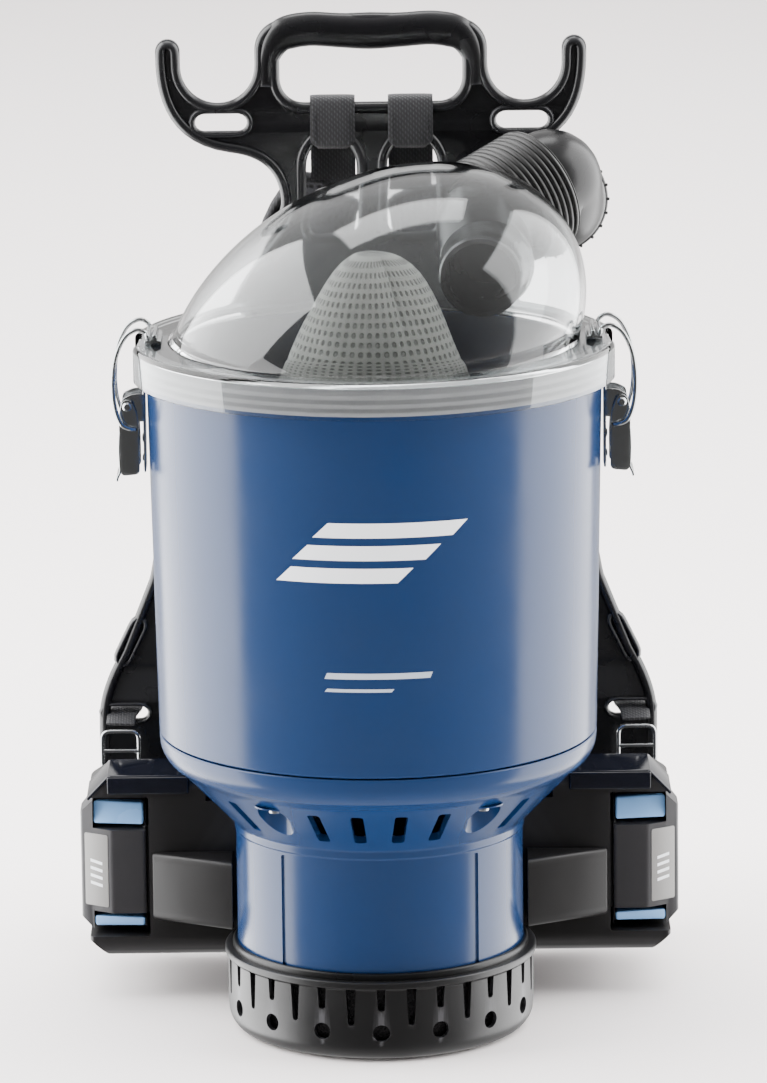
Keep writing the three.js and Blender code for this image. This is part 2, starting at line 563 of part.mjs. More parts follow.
// ---------------------------------------------------------------- battery cradle and packs
function cradleGroup() {
  const group = new THREE.Group();
  const { halfWidth, front, back, bottomZ, topZ, flatTo, backZ } = CRADLE;
  const body = plateYZ([
    [front + 5, bottomZ], [back, bottomZ], [back, backZ], [flatTo, topZ], [front + 3, topZ], [front, topZ - 5],
    [front, bottomZ + 6],
  ], -halfWidth, halfWidth);
  const cuts = [ring(0.01, 94, -10, 50, 48), ring(0.01, 87.5, 49, 122, 48), ring(0.01, 112, 121, 200, 48)];
  for (const sign of [1, -1]) {
    const span = (a, b) => [Math.min(sign * a, sign * b), Math.max(sign * a, sign * b)];
    const bay = (a, b, y0, y1, z0, z1) => {
      const [x0, x1] = span(a, b);
      return block([x0, y0, z0], [x1, y1, z1]);
    };
    cuts.push(bay(SLEEVE_END_X, 190, 30, PACK.back + 3, 39.5, 124.5));
    cuts.push(bay(PACK.inX - RUN, 190, PACK.front - RUN, PACK.back + 3, 39.5, 124.5));
    cuts.push(bay(84, PACK.inX, PACK.front + 6, PACK.back - 4, 60, 98));
    cuts.push(bay(84, 166, PACK.back + 6.5, back + 1, bottomZ + 6, 100));
    // the outer corners slope off above and below the pack
    for (const corner of [[[159, 137], [173, 122.5], [185, 122.5], [185, 150], [159, 150]], [[160, 25], [173, 39], [185, 39], [185, 10], [160, 10]]]) {
      const outline = corner.map(([x, z]) => new THREE.Vector2(sign * x, z));
      cuts.push(plateXZ(new THREE.Shape(sign > 0 ? outline : outline.reverse()), 20, back + 10));
    }
  }
  cuts.push(block([-60, 97, bottomZ + 6], [60, back + 1, 104]));
  cuts.push(block([110, 100, 90], [134, 116, 140]), bar(vec(0, 84, 80), vec(0, 100, 80), 4.5));
  // a raised panel on each side of the front, drawn forward towards the neck
  const panels = [1, -1].map((sign) => {
    const plan = [[84, 18], [134, 44.5], [134, 48], [84, 48]].map(([x, y]) => new THREE.Vector2(sign * x, y));
    return new THREE.ExtrudeGeometry(new THREE.Shape(sign > 0 ? plan : plan.reverse()), { depth: 41, bevelEnabled: false }).translate(0, 0, 50.5);
  });
  const cradle = build([body, ...panels], cuts);
  add(group, "battery_cradle", cradle, BLACK);

  bothSides(group, (sideGroup, side) => {
    add(sideGroup, `terminal_block_${side}`, build(
      [block([85, PACK.front + 8, 64], [92.5, PACK.back - 6, 94]), ...[70, 77, 84].map((z) => block([92, 60, z], [99, 70, z + 2]))],
    ), COPPER);
  });
  add(group, "control_board", build([block([-50, 101, 46], [50, 103, 100]), block([-20, 102.5, 60], [10, 108, 80]), bar(vec(30, 102.5, 72), vec(30, 115, 72), 8, 8, 16)]), BOARD);

  const rocker = plateYZ([[101.5, 120], [103, 130], [108, 127], [113, 125], [114.5, 113], [108, 111]], 111.5, 132.5);
  add(group, "power_switch", rocker, BLACK_RUBBER);
  return group;
}

function packGroup(parent) {
  bothSides(parent, (group, side) => {
    const { inX, outX, front, back, lowZ, topZ } = PACK;
    const plan = new THREE.Shape([
      new THREE.Vector2(137.2, front - 2), new THREE.Vector2(138, front - 3),
      new THREE.Vector2(158, front - 3), new THREE.Vector2(outX, front + 9), new THREE.Vector2(outX, back - 6),
      new THREE.Vector2(outX - 6, back), new THREE.Vector2(137.2, back),
    ]);
    const body = new THREE.ExtrudeGeometry(plan, { depth: topZ - lowZ, bevelEnabled: false }).translate(0, 0, lowZ);
    const tongue = block([inX, front + 3, lowZ + 3.5], [139, back - 3, topZ - 3.5]); // the part that runs into the bay
    const buttonX = [139, 165];
    const buttonY = [front + 1, front + 14];
    const pocket = (z0, z1) => block([buttonX[0] - RUN, buttonY[0] - 8, z0], [buttonX[1] + RUN, buttonY[1] + RUN, z1]);
    const contacts = [69, 76, 83].map((z) => block([inX - 1, 59, z], [inX + 8, 71, z + 4]));
    add(group, `battery_pack_${side}`, build([body, tongue], [pocket(topZ - 6, topZ + 5), pocket(lowZ - 5, lowZ + 6), ...contacts]), BLACK);

    const wedge = (z0, z1, frontLow, frontHigh) => plateYZ([[frontLow, z0], [buttonY[1], z0], [buttonY[1], z1], [frontHigh, z1]], ...buttonX);
    add(group, `release_button_top_${side}`, wedge(topZ - 2.8, topZ + 9.5, front - 1.5, front + 4.5), BUTTON_BLUE);
    add(group, `release_button_bottom_${side}`, wedge(lowZ - 3.4, lowZ + 2.8, front + 1.4, front - 1.5), BUTTON_BLUE);
  });
}

// ---------------------------------------------------------------- harness
function harnessGroup() {
  const group = new THREE.Group();
  const back = FRAME.front + FRAME.thick;
  const padShape = new THREE.Shape([
    new THREE.Vector2(-66, 168), new THREE.Vector2(66, 168), new THREE.Vector2(72, 180), new THREE.Vector2(56, 395),
    new THREE.Vector2(46, 408), new THREE.Vector2(-46, 408), new THREE.Vector2(-56, 395), new THREE.Vector2(-72, 180),
  ]);
  add(group, "back_pad", plateXZ(padShape, back + 3.6, back + 22), PADDING);

  bothSides(group, (sideGroup, side) => {
    const x = STRAP_X + 1;
    const loop = strap([
      vec(x, back + 2.8, 476), vec(x, back + 2.8, 502), vec(x, back + 2.8, 516), vec(x, back + 1.6, 523.8),
      vec(x, 144.5, 525.6), vec(x, 138.4, 523.4), vec(x, 137.4, 515), vec(x, 137.4, 505), vec(x, 138.6, 498),
      vec(x, 145, 495),
    ], [26, 26, 26, 26, 26, 26, 26, 24, 19, 18], 1.6, vec(1, 0, 0));
    add(sideGroup, `strap_loop_${side}`, loop, WEBBING);

    const padPath = [
      vec(26, back + 12, 472), vec(37, back + 30, 446), vec(50, back + 46, 400), vec(66, back + 52, 340),
      vec(86, back + 48, 285), vec(110, back + 32, 236),
    ];
    add(sideGroup, `shoulder_strap_${side}`, strap(padPath, [40, 60, 68, 66, 58, 40], 15, vec(1, -0.1, 0.25)), PADDING);

    add(sideGroup, `lower_webbing_${side}`, strap([
      vec(117, back + 26, 222), vec(136, back + 13, 190), vec(149, back + 6, 166), vec(151, back + 2, 155.5),
      vec(153.5, 144, 152), vec(154.5, 138, 150.5), vec(155, 131.4, 147.5),
    ], [20, 19, 17], 1.6, vec(1, 0, 0)), WEBBING);

    const wire = 1.3;
    const reach = 11 + wire;
    const upright = (dx) => bar(vec(155 + dx, 128, 120), vec(155 + dx, 128, 144), wire, wire, 8);
    const rung = (z) => bar(vec(155 - reach, 128, z), vec(155 + reach, 128, z), wire, wire, 8);
    const ladder = build([upright(-11), upright(11), rung(120), rung(132), rung(144)]);
    add(sideGroup, `ladder_loop_${side}`, ladder, STEEL);

    const beltPath = [
      vec(20, back + 12, 62), vec(80, back + 13, 62), vec(130, back + 22, 60), vec(160, back + 48, 57), vec(172, back + 88, 54),
    ];
    add(sideGroup, `hip_pad_${side}`, strap(beltPath, [66, 74, 78, 72, 44], 14, vec(0, 0, 1)), PADDING);
    const webbing = [
      vec(171.5, back + 92, 54), vec(160, back + 128, 53), vec(120, back + 156, 52), vec(70, back + 168, 52),
      vec(25.5, back + 170, 52),
    ];
    add(sideGroup, `belt_webbing_${side}`, strap(webbing, [38, 38], 1.8, vec(0, 0, 1)), WEBBING);
  });

  const buckleY = back + 170;
  const prong = (z) => block([-12, buckleY - 2.4, z - 3], [8, buckleY + 2.4, z + 3]);
  const socket = build(
    [block([-25, buckleY - 5.5, 30], [3, buckleY + 5.5, 74])],
    [block([-14, buckleY - 3, 34], [5, buckleY + 3, 70])],
  );
  add(group, "belt_buckle_socket", socket, BLACK);
  const plug = build([block([3.4, buckleY - 4.5, 32], [25, buckleY + 4.5, 72]), prong(38), prong(52), prong(66)]);
  add(group, "belt_buckle_plug", plug, BLACK);
  return group;
}

// ---------------------------------------------------------------- assembly
const vacuum = new THREE.Group();
const lid = lidGroup();
lid.add(swivelGroup());
vacuum.add(tankGroup(), motorGroup(), lid, frameGroup(), cradleGroup(), harnessGroup());
latchGroup(vacuum);
packGroup(vacuum);
export default vacuum;
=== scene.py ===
"""A battery backpack vacuum cleaner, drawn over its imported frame.

Every length is in millimetres and is turned to metres when a mesh is made. +Z is up, +Y points at the
wearer, +X is to the right, and the origin is on the tank's axis at the floor.
"""

from __future__ import annotations

import json
import logging
import math
from collections.abc import Callable, Iterable
from dataclasses import dataclass, field
from enum import Enum

import bmesh
import bpy
import numpy as np
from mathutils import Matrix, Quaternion, Vector
from mathutils.geometry import tessellate_polygon

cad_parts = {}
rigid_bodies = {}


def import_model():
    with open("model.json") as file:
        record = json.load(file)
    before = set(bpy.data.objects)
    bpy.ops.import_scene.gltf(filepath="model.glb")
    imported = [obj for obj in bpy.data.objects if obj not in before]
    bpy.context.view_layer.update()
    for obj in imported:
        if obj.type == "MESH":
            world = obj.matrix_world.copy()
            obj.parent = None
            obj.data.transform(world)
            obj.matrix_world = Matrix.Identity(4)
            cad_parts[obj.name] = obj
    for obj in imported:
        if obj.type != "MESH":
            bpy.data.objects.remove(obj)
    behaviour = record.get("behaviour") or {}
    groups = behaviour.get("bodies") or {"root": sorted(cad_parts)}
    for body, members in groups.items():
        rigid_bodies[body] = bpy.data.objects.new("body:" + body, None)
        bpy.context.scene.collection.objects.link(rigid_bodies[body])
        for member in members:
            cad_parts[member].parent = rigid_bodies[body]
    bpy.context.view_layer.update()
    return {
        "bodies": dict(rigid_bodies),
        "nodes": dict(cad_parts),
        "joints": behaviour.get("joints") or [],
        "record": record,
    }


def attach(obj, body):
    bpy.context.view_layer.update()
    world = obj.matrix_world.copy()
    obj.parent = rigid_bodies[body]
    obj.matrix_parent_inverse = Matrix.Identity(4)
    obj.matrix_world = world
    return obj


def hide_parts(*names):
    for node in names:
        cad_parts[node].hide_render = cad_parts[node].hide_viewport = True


Array = np.ndarray
MM = 0.001
log = logging.getLogger("vacuum")


class Facing(Enum):
    """The way a flat outline looks, and so the axis it is made thick along."""

    FRONT = "y"  # outline in X and Z
    SIDE = "x"  # outline in Y and Z
    TOP = "z"  # outline in X and Y


# ---------------------------------------------------------------- curves


def arc(centre: tuple[float, float], radius: float, start: float, stop: float, count: int = 12) -> Array:
    """Points on a circle: centre + radius * (cos a, sin a), with a even from start to stop degrees."""
    a = np.radians(np.linspace(start, stop, count))
    return np.stack([centre[0] + radius * np.cos(a), centre[1] + radius * np.sin(a)], axis=-1)


def bezier(*points: tuple[float, float], count: int = 14) -> Array:
    """A Bezier curve through its first and last point: the sum of each point times its Bernstein weight."""
    t = np.linspace(0, 1, count)[:, None]
    n = len(points) - 1
    weights = [math.comb(n, k) * t**k * (1 - t) ** (n - k) for k in range(n + 1)]
    return sum(w * np.asarray(p, float) for w, p in zip(weights, points))


def smooth_path(points: Iterable[Iterable[float]], count: int) -> Array:
    """A Catmull-Rom curve: each span is the cubic whose end slopes are half the gap between the neighbours."""
    p = np.asarray(points, float)
    p = np.vstack([2 * p[0] - p[1], p, 2 * p[-1] - p[-2]])
    u = np.linspace(0, len(p) - 3, count)
    k = np.minimum(u.astype(int), len(p) - 4)
    t = (u - k)[:, None]
    a, b, c, d = p[k], p[k + 1], p[k + 2], p[k + 3]
    return 0.5 * (2 * b + (c - a) * t + (2 * a - 5 * b + 4 * c - d) * t**2 + (3 * b - a - 3 * c + d) * t**3)


def rounded_rectangle(width: float, height: float, radius: float, count: int = 5) -> Array:
    """A rectangle about the origin whose corners are quarter circles, anticlockwise."""
    w, h = width / 2 - radius, height / 2 - radius
    corners = [(w, -h, -90), (w, h, 0), (-w, h, 90), (-w, -h, 180)]
    return np.vstack([arc((x, y), radius, a, a + 90, count) for x, y, a in corners])


def circle(radius: float, count: int = 24) -> Array:
    """An even circle about the origin, anticlockwise, its last point left out."""
    return arc((0, 0), radius, 0, 360, count + 1)[:-1]


def unit(v: Array) -> Array:
    """Vectors scaled to length one."""
    v = np.asarray(v, float)
    return v / np.linalg.norm(v, axis=-1, keepdims=True)


def ease(low: float, high: float, x: Array) -> Array:
    """Nothing below low, one above high, and 3t^2 - 2t^3 between."""
    t = np.clip((x - low) / (high - low), 0, 1)
    return t * t * (3 - 2 * t)


# ---------------------------------------------------------------- forms


class Form:
    """A surface in the making: points in millimetres and blocks of faces."""

    def __init__(self, points: Array, faces: list[Array]) -> None:
        """Keeps an (n, 3) array of points and a list of (m, k) arrays of point numbers."""
        self.points = np.asarray(points, float).reshape(-1, 3)
        self.faces = faces

    def __add__(self, other: Form) -> Form:
        """Both forms side by side in one."""
        shifted = [f + len(self.points) for f in other.faces]
        return Form(np.vstack([self.points, other.points]), self.faces + shifted)

    def mapped(self, rule: Callable[[Array], Array]) -> Form:
        """The form with its points put through a rule."""
        return Form(rule(self.points.copy()), self.faces)

    def moved(self, x: float = 0, y: float = 0, z: float = 0) -> Form:
        """The form shifted."""
        return self.mapped(lambda p: p + (x, y, z))

    def mirrored(self) -> Form:
        """The form's mirror image in X."""
        return Form(self.points * (-1, 1, 1), [f[:, ::-1] for f in self.faces])

    def turned(self, degrees: float) -> Form:
        """The form turned about Z."""
        a = math.radians(degrees)
        turn = np.array([[math.cos(a), math.sin(a), 0], [-math.sin(a), math.cos(a), 0], [0, 0, 1]])
        return self.mapped(lambda p: p @ turn)

    def repeated(self, angles: Iterable[float]) -> Form:
        """A copy of the form at each angle about Z."""
        return joined([self.turned(a) for a in angles])

    def aimed(self, origin: Array, along: Array, side: Array = (0, 0, 1)) -> Form:
        """The form with its Z axis laid along a direction from an origin.

        Args:
            origin: where the form's own origin goes.
            along: the direction of the form's Z axis.
            side: a direction that the form's X axis leans towards.
        """
        w = unit(along)
        u = unit(np.asarray(side, float) - np.dot(side, w) * w)
        v = np.cross(w, u)
        return self.mapped(lambda p: np.asarray(origin, float) + p @ np.stack([u, v, w]))


def joined(forms: list[Form]) -> Form:
    """Several forms in one."""
    total = forms[0]
    for form in forms[1:]:
        total = total + form
    return total


def sheet(points: Array, around: bool = True, along: bool = False, capped: bool = False) -> Form:
    """A grid of points with a quad in each cell.

    Args:
        points: (rows, columns, 3).
        around: the last column meets the first.
        along: the last row meets the first.
        capped: each end row is closed by a fan to its middle.

    Returns:
        The surface.
    """
    rows, columns, _ = points.shape
    i = np.arange(rows if along else rows - 1)[:, None]
    j = np.arange(columns if around else columns - 1)[None, :]
    i2, j2 = (i + 1) % rows, (j + 1) % columns
    quads = np.stack([i * columns + j, i * columns + j2, i2 * columns + j2, i2 * columns + j], axis=-1)
    faces = [quads.reshape(-1, 4)]
    flat = points.reshape(-1, 3)
    if capped:
        ring = np.arange(columns)
        last = (rows - 1) * columns
        flat = np.vstack([flat, points[0].mean(axis=0), points[-1].mean(axis=0)])
        ends = [(ring, len(flat) - 2, -1), (ring + last, len(flat) - 1, 1)]
        for row, middle, way in ends:
            fan = np.stack([row, np.roll(row, -way), np.full(columns, middle)], axis=-1)
            faces.append(fan)
    return Form(flat, faces)


def revolved(profile: Iterable[Iterable[float]], count: int = 160, ring: bool = False) -> Form:
    """A profile of (radius, height) carried round Z: (r cos a, r sin a, h).

    Args:
        profile: the section's points.
        count: steps round.
        ring: the profile closes on itself.
    """
    p = np.asarray(profile, float)
    a = np.linspace(0, 2 * np.pi, count, endpoint=False)
    r, h = p[:, 0, None], p[:, 1, None]
    points = np.stack([r * np.cos(a), r * np.sin(a), h + 0 * a], axis=-1)
    return sheet(points, along=ring)


def softened(corners: Iterable[Iterable[float]], radius: float, count: int = 4, ring: bool = True) -> Array:
    """An outline with each corner rounded by a curve that starts and ends `radius` from the corner.

    Args:
        corners: the outline's corners, (x, y), with an own radius as a third number where it differs.
        radius: how far along each edge the rounding starts, cut to under half the shorter edge.
        count: points on each corner.
        ring: the outline closes on itself, so that its ends are corners too.
    """
    rows = [tuple(c) if len(tuple(c)) == 3 else (*c, radius) for c in corners]
    p = np.array(rows, float)
    xy, r = p[:, :2], p[:, 2]
    before, after = np.roll(xy, 1, axis=0) - xy, np.roll(xy, -1, axis=0) - xy
    gap = np.minimum(np.linalg.norm(before, axis=1), np.linalg.norm(after, axis=1))
    reach = np.minimum(r, 0.48 * gap)[:, None]
    a, b = xy + unit(before) * reach, xy + unit(after) * reach
    t = np.linspace(0, 1, count)[None, :, None]
    curve = a[:, None] * (1 - t) ** 2 + 2 * xy[:, None] * t * (1 - t) + b[:, None] * t**2
    if ring:
        return curve.reshape(-1, 2)
    return np.vstack([xy[:1], curve[1:-1].reshape(-1, 2), xy[-1:]])


def swept(path: Array, section: Array, across: Array, ring: bool = False) -> Form:
    """A section carried along a path: path + a * side + b * face.

    Side is `across` less its part along the path, and face is the path's direction crossed with side.

    Args:
        path: (n, 3).
        section: (k, 2), or (n, k, 2) where it changes on the way.
        across: the direction of the section's first axis, one or one for each point.
        ring: the path closes on itself.
    """
    path = np.asarray(path, float)
    if ring:
        way = np.roll(path, -1, axis=0) - np.roll(path, 1, axis=0)
    else:
        way = np.gradient(path, axis=0)
    way = unit(way)
    across = np.broadcast_to(np.asarray(across, float), path.shape)
    side = unit(across - (across * way).sum(axis=1, keepdims=True) * way)
    face = np.cross(way, side)
    section = np.broadcast_to(section, (len(path), *np.shape(section)[-2:]))
    points = path[:, None] + section[..., :1] * side[:, None] + section[..., 1:] * face[:, None]
    return sheet(points, along=ring, capped=not ring)


def offset(loop: Array, distance: float) -> Array:
    """A closed loop moved to its right by a distance: out of an anticlockwise loop, into a clockwise one."""
    edge = unit(np.roll(loop, -1, axis=0) - loop)
    normal = np.stack([edge[:, 1], -edge[:, 0]], axis=-1)
    mean = normal + np.roll(normal, 1, axis=0)
    mitre = mean / np.maximum((mean * mean).sum(axis=1, keepdims=True) / 2, 0.5)
    return loop + mitre * distance


def tidy_loop(loop: Array, clockwise: bool) -> Array:
    """A loop with no doubled points, running the way asked for."""
    loop = loop[np.linalg.norm(loop - np.roll(loop, 1, axis=0), axis=1) > 0.02]
    x, y = loop.T
    area = np.sum(x * np.roll(y, -1) - y * np.roll(x, -1))
    return loop[::-1] if (area > 0) == clockwise else loop


def plate(loops: list[Array], low: float, high: float, edge: float, facing: Facing, steps: int = 4) -> Form:
    """A flat piece with holes and rounded edges.

    Each loop is carried up from low to high. Near each face it draws back from the edge along a quarter
    circle: the offset is -edge * (1 - sin a) where the height is edge * (1 - cos a).

    Args:
        loops: the outline, then its holes.
        low: where the piece starts along its thickness.
        high: where it ends.
        edge: radius of the rounded edges.
        facing: the way the outline looks.
        steps: steps on each quarter circle.

    Returns:
        The closed form.
    """
    loops = [tidy_loop(np.asarray(l, float), clockwise=k > 0) for k, l in enumerate(loops)]
    a = np.linspace(0, np.pi / 2, steps + 1)
    draws = -edge * (1 - np.sin(a))
    heights = edge * (1 - np.cos(a))
    layers = [(d, low + h) for d, h in zip(draws, heights)] + [
        (d, high - h) for d, h in zip(draws[::-1], heights[::-1])
    ]
    walls = []
    for loop in loops:
        rows = [np.column_stack([offset(loop, d), np.full(len(loop), h)]) for d, h in layers]
        walls.append(sheet(np.array(rows)))
    form = joined(walls)
    rims = [offset(loop, draws[0]) for loop in loops]
    flat = np.vstack(rims)
    fill = np.array(tessellate_polygon([[Vector((*p, 0)) for p in rim] for rim in rims]))
    for height, way in ((low, -1), (high, 1)):
        form = form + Form(np.column_stack([flat, np.full(len(flat), height)]), [fill[:, ::way]])
    order = {Facing.FRONT: (0, 2, 1), Facing.SIDE: (2, 0, 1), Facing.TOP: (0, 1, 2)}[facing]
    return form.mapped(lambda p: p[:, order])


def block(low: Iterable[float], high: Iterable[float], radius: float = 1.0, count: int = 4) -> Form:
    """A box with rounded edges: each corner of an inner box plus radius times a direction on the sphere."""
    low, high = np.asarray(low, float), np.asarray(high, float)
    radius = min(radius, 0.49 * float(np.min(high - low)))
    quarter = np.linspace(0, np.pi / 2, count + 1)
    turn = np.concatenate([quarter + k * np.pi / 2 for k in range(4)])
    x_sign = np.repeat([1, -1, -1, 1], count + 1)
    y_sign = np.repeat([1, 1, -1, -1], count + 1)
    rise = np.concatenate([quarter - np.pi / 2, quarter])
    z_sign = np.repeat([-1, 1], count + 1)
    direction = np.stack(
        [np.outer(np.cos(rise), np.cos(turn)), np.outer(np.cos(rise), np.sin(turn)), np.outer(np.sin(rise), turn**0)],
        axis=-1,
    )
    corner = np.stack(np.broadcast_arrays(x_sign[None, :], y_sign[None, :], z_sign[:, None]), axis=-1)
    points = (low + high) / 2 + corner * ((high - low) / 2 - radius) + radius * direction
    return sheet(points, capped=True)


def rod(path: Iterable[Iterable[float]], radius: float, across: Array, count: int = 60, sides: int = 16) -> Form:
    """A round wire along a smooth path."""
    return swept(smooth_path(path, count), circle(radius, sides), across)


# ---------------------------------------------------------------- pieces


def make(form: Form, name: str, sharp: float = 35) -> bpy.types.Object:
    """Makes a mesh object from a form.

    Args:
        form: the surface, in millimetres.
        name: the object's name.
        sharp: edges that bend more than this many degrees stay crisp.

    Returns:
        The object, linked to the scene, at the origin.
    """
    mesh = bpy.data.meshes.new(name)
    mesh.from_pydata((form.points * MM).tolist(), [], [row for f in form.faces for row in f.tolist()])
    work = bmesh.new()
    work.from_mesh(mesh)
    bmesh.ops.remove_doubles(work, verts=work.verts, dist=0.005 * MM)
    bmesh.ops.dissolve_degenerate(work, dist=0.002 * MM, edges=work.edges)
    bmesh.ops.recalc_face_normals(work, faces=work.faces)
    work.to_mesh(mesh)
    work.free()
    mesh.shade_smooth()
    mesh.set_sharp_from_angle(angle=math.radians(sharp))
    piece = bpy.data.objects.new(name, mesh)
    bpy.context.scene.collection.objects.link(piece)
    return piece


def settle(piece: bpy.types.Object, sharp: float = 35) -> bpy.types.Object:
    """Turns a piece's modifiers into mesh and smooths it again."""
    graph = bpy.context.evaluated_depsgraph_get()
    mesh = bpy.data.meshes.new_from_object(piece.evaluated_get(graph))
    piece.modifiers.clear()
    piece.data = mesh
    mesh.shade_smooth()
    mesh.set_sharp_from_angle(angle=math.radians(sharp))
    return piece


def carve(piece: bpy.types.Object, cutters: Form, sharp: float = 35) -> bpy.types.Object:
    """Cuts a form out of a piece."""
    tool = make(cutters, "cutter")
    cut = piece.modifiers.new("cut", "BOOLEAN")
    cut.operation = "DIFFERENCE"
    cut.solver = "EXACT"
    cut.use_self = True
    cut.object = tool
    settle(piece, sharp)
    bpy.data.objects.remove(tool)
    return piece


# ---------------------------------------------------------------- finishes


def linear(colour: str) -> tuple[float, float, float, float]:
    """An sRGB hex colour as linear RGBA."""
    c = np.array([int(colour[i : i + 2], 16) / 255 for i in (1, 3, 5)])
    c = np.where(c <= 0.04045, c / 12.92, ((c + 0.055) / 1.055) ** 2.4)
    return (*c.tolist(), 1.0)


def add_node(tree: bpy.types.NodeTree, kind: str, settings: dict | None = None, links: dict | None = None):
    """Adds a node.

    Args:
        tree: the node tree it goes in.
        kind: the node's type, less its ShaderNode prefix.
        settings: properties of the node, and values of its inputs by name or number.
        links: inputs by name or number, each with the output that feeds it.

    Returns:
        The node.
    """
    node = tree.nodes.new("ShaderNode" + kind)
    for key, value in (settings or {}).items():
        if isinstance(key, str) and hasattr(node, key):
            setattr(node, key, value)
        else:
            node.inputs[key].default_value = value
    for key, output in (links or {}).items():
        tree.links.new(output, node.inputs[key])
    return node


@dataclass(frozen=True)
class Finish:
    """A plain surface of one colour; the finishes below add its texture."""

    name: str
    colour: str
    roughness: float = 0.5
    metallic: float = 0.0
    extra: tuple[tuple[str, float], ...] = ()

    def material(self) -> bpy.types.Material:
        """The finish as a material, made once."""
        found = bpy.data.materials.get(self.name)
        if found:
            return found
        made = bpy.data.materials.new(self.name)
        made.use_nodes = True
        tree = made.node_tree
        shader = tree.nodes["Principled BSDF"]
        shader.inputs["Base Color"].default_value = linear(self.colour)
        shader.inputs["Roughness"].default_value = self.roughness
        shader.inputs["Metallic"].default_value = self.metallic
        for key, value in self.extra:
            shader.inputs[key].default_value = value
        made.diffuse_color = linear(self.colour)
        self.texture(tree, shader)
        return made

    def texture(self, tree: bpy.types.NodeTree, shader: bpy.types.Node) -> None:
        """Adds nothing to a plain surface."""

    def place(self, tree: bpy.types.NodeTree) -> bpy.types.NodeSocket:
        """The Object coordinates, in metres."""
        return add_node(tree, "TexCoord").outputs["Object"]

    def grain(self, tree: bpy.types.NodeTree, size: float, detail: float = 3.0, stretch: tuple = (1, 1, 1)):
        """Noise whose lumps are `size` millimetres apart, stretched where asked."""
        mapping = add_node(tree, "Mapping", {"Scale": stretch}, {"Vector": self.place(tree)})
        noise = add_node(
            tree, "TexNoise", {"Scale": 1 / (size * MM), "Detail": detail}, {"Vector": mapping.outputs["Vector"]}
        )
        return noise.outputs["Fac"]

    def relief(self, tree: bpy.types.NodeTree, shader: bpy.types.Node, height, depth: float, before=None):
        """Bumps the surface by a height from 0 to 1, `depth` millimetres deep."""
        links = {"Height": height} | ({"Normal": before} if before else {})
        bump = add_node(tree, "Bump", {"Distance": depth * MM, "Strength": 1.0}, links)
        tree.links.new(bump.outputs["Normal"], shader.inputs["Normal"])
        return bump.outputs["Normal"]

    def spread(self, tree: bpy.types.NodeTree, value, low: float, high: float, start: float = 0.3, end: float = 0.7):
        """Maps a value that runs from start to end onto low to high."""
        keys = {"From Min": start, "From Max": end, "To Min": low, "To Max": high}
        return add_node(tree, "MapRange", keys, {"Value": value}).outputs["Result"]

    def shades(self, tree: bpy.types.NodeTree, shader: bpy.types.Node, factor, other: str) -> None:
        """Blends the colour towards another by a factor."""
        mix = add_node(tree, "Mix", {"data_type": "RGBA", 6: linear(self.colour), 7: linear(other)}, {0: factor})
        tree.links.new(mix.outputs[2], shader.inputs["Base Color"])


@dataclass(frozen=True)
class MouldedPlastic(Finish):
    """ABS from a spark-eroded mould: an even fine grain, handled smoother in patches, edges rubbed paler."""

    grain_size: float = 1.1  # real grain is 0.3 mm; drawn coarser so that it shows
    grain_depth: float = 0.035
    worn: str = "#55565a"

    def texture(self, tree: bpy.types.NodeTree, shader: bpy.types.Node) -> None:
        """Grain as relief, broad patches in the roughness and pale wear where the surface is sharpest."""
        self.relief(tree, shader, self.grain(tree, self.grain_size), self.grain_depth)
        patches = self.grain(tree, 45, 4)
        rough = self.spread(tree, patches, self.roughness - 0.07, self.roughness + 0.09)
        tree.links.new(rough, shader.inputs["Roughness"])
        sharpness = add_node(tree, "NewGeometry").outputs["Pointiness"]
        edge = self.spread(tree, sharpness, 0.0, 0.5, 0.53, 0.62)
        self.shades(tree, shader, edge, self.worn)


@dataclass(frozen=True)
class GlossPlastic(Finish):
    """Polished injection-moulded ABS: deep colour, slight flow ripple and faint handling haze."""

    ripple: float = 0.02

    def texture(self, tree: bpy.types.NodeTree, shader: bpy.types.Node) -> None:
        """Flow ripples 14 mm apart as relief, and haze in the roughness."""
        self.relief(tree, shader, self.grain(tree, 14, 1.0), self.ripple)
        haze = self.spread(tree, self.grain(tree, 60, 6), self.roughness - 0.03, self.roughness + 0.06)
        tree.links.new(haze, shader.inputs["Roughness"])


@dataclass(frozen=True)
class ClearPlastic(Finish):
    """Polycarbonate, clear and glossy, with hairline wiping scratches."""

    def texture(self, tree: bpy.types.NodeTree, shader: bpy.types.Node) -> None:
        """Scratches as stretched noise in the relief."""
        self.relief(tree, shader, self.grain(tree, 2.5, 2.0, (1, 1, 0.08)), 0.004)


@dataclass(frozen=True)
class PlatedSteel(Finish):
    """Nickel-plated pressed steel and wire: bright, with drawn streaks and dull fingerprints."""

    def texture(self, tree: bpy.types.NodeTree, shader: bpy.types.Node) -> None:
        """Streaks 1.2 mm apart along Z, and broad dull patches."""
        self.relief(tree, shader, self.grain(tree, 1.2, 2.0, (1, 1, 0.1)), 0.012)
        dull = self.spread(tree, self.grain(tree, 12, 3), self.roughness - 0.05, self.roughness + 0.12)
        tree.links.new(dull, shader.inputs["Roughness"])


@dataclass(frozen=True)
class MattRubber(Finish):
    """Moulded rubber: soft and dull, with a dusting of bloom."""

    bloom: str = "#3c3b3a"

    def texture(self, tree: bpy.types.NodeTree, shader: bpy.types.Node) -> None:
        """Fine relief and pale bloom in patches 20 mm wide."""
        self.relief(tree, shader, self.grain(tree, 1.4), 0.03)
        self.shades(tree, shader, self.spread(tree, self.grain(tree, 20, 5), 0.0, 0.35), self.bloom)


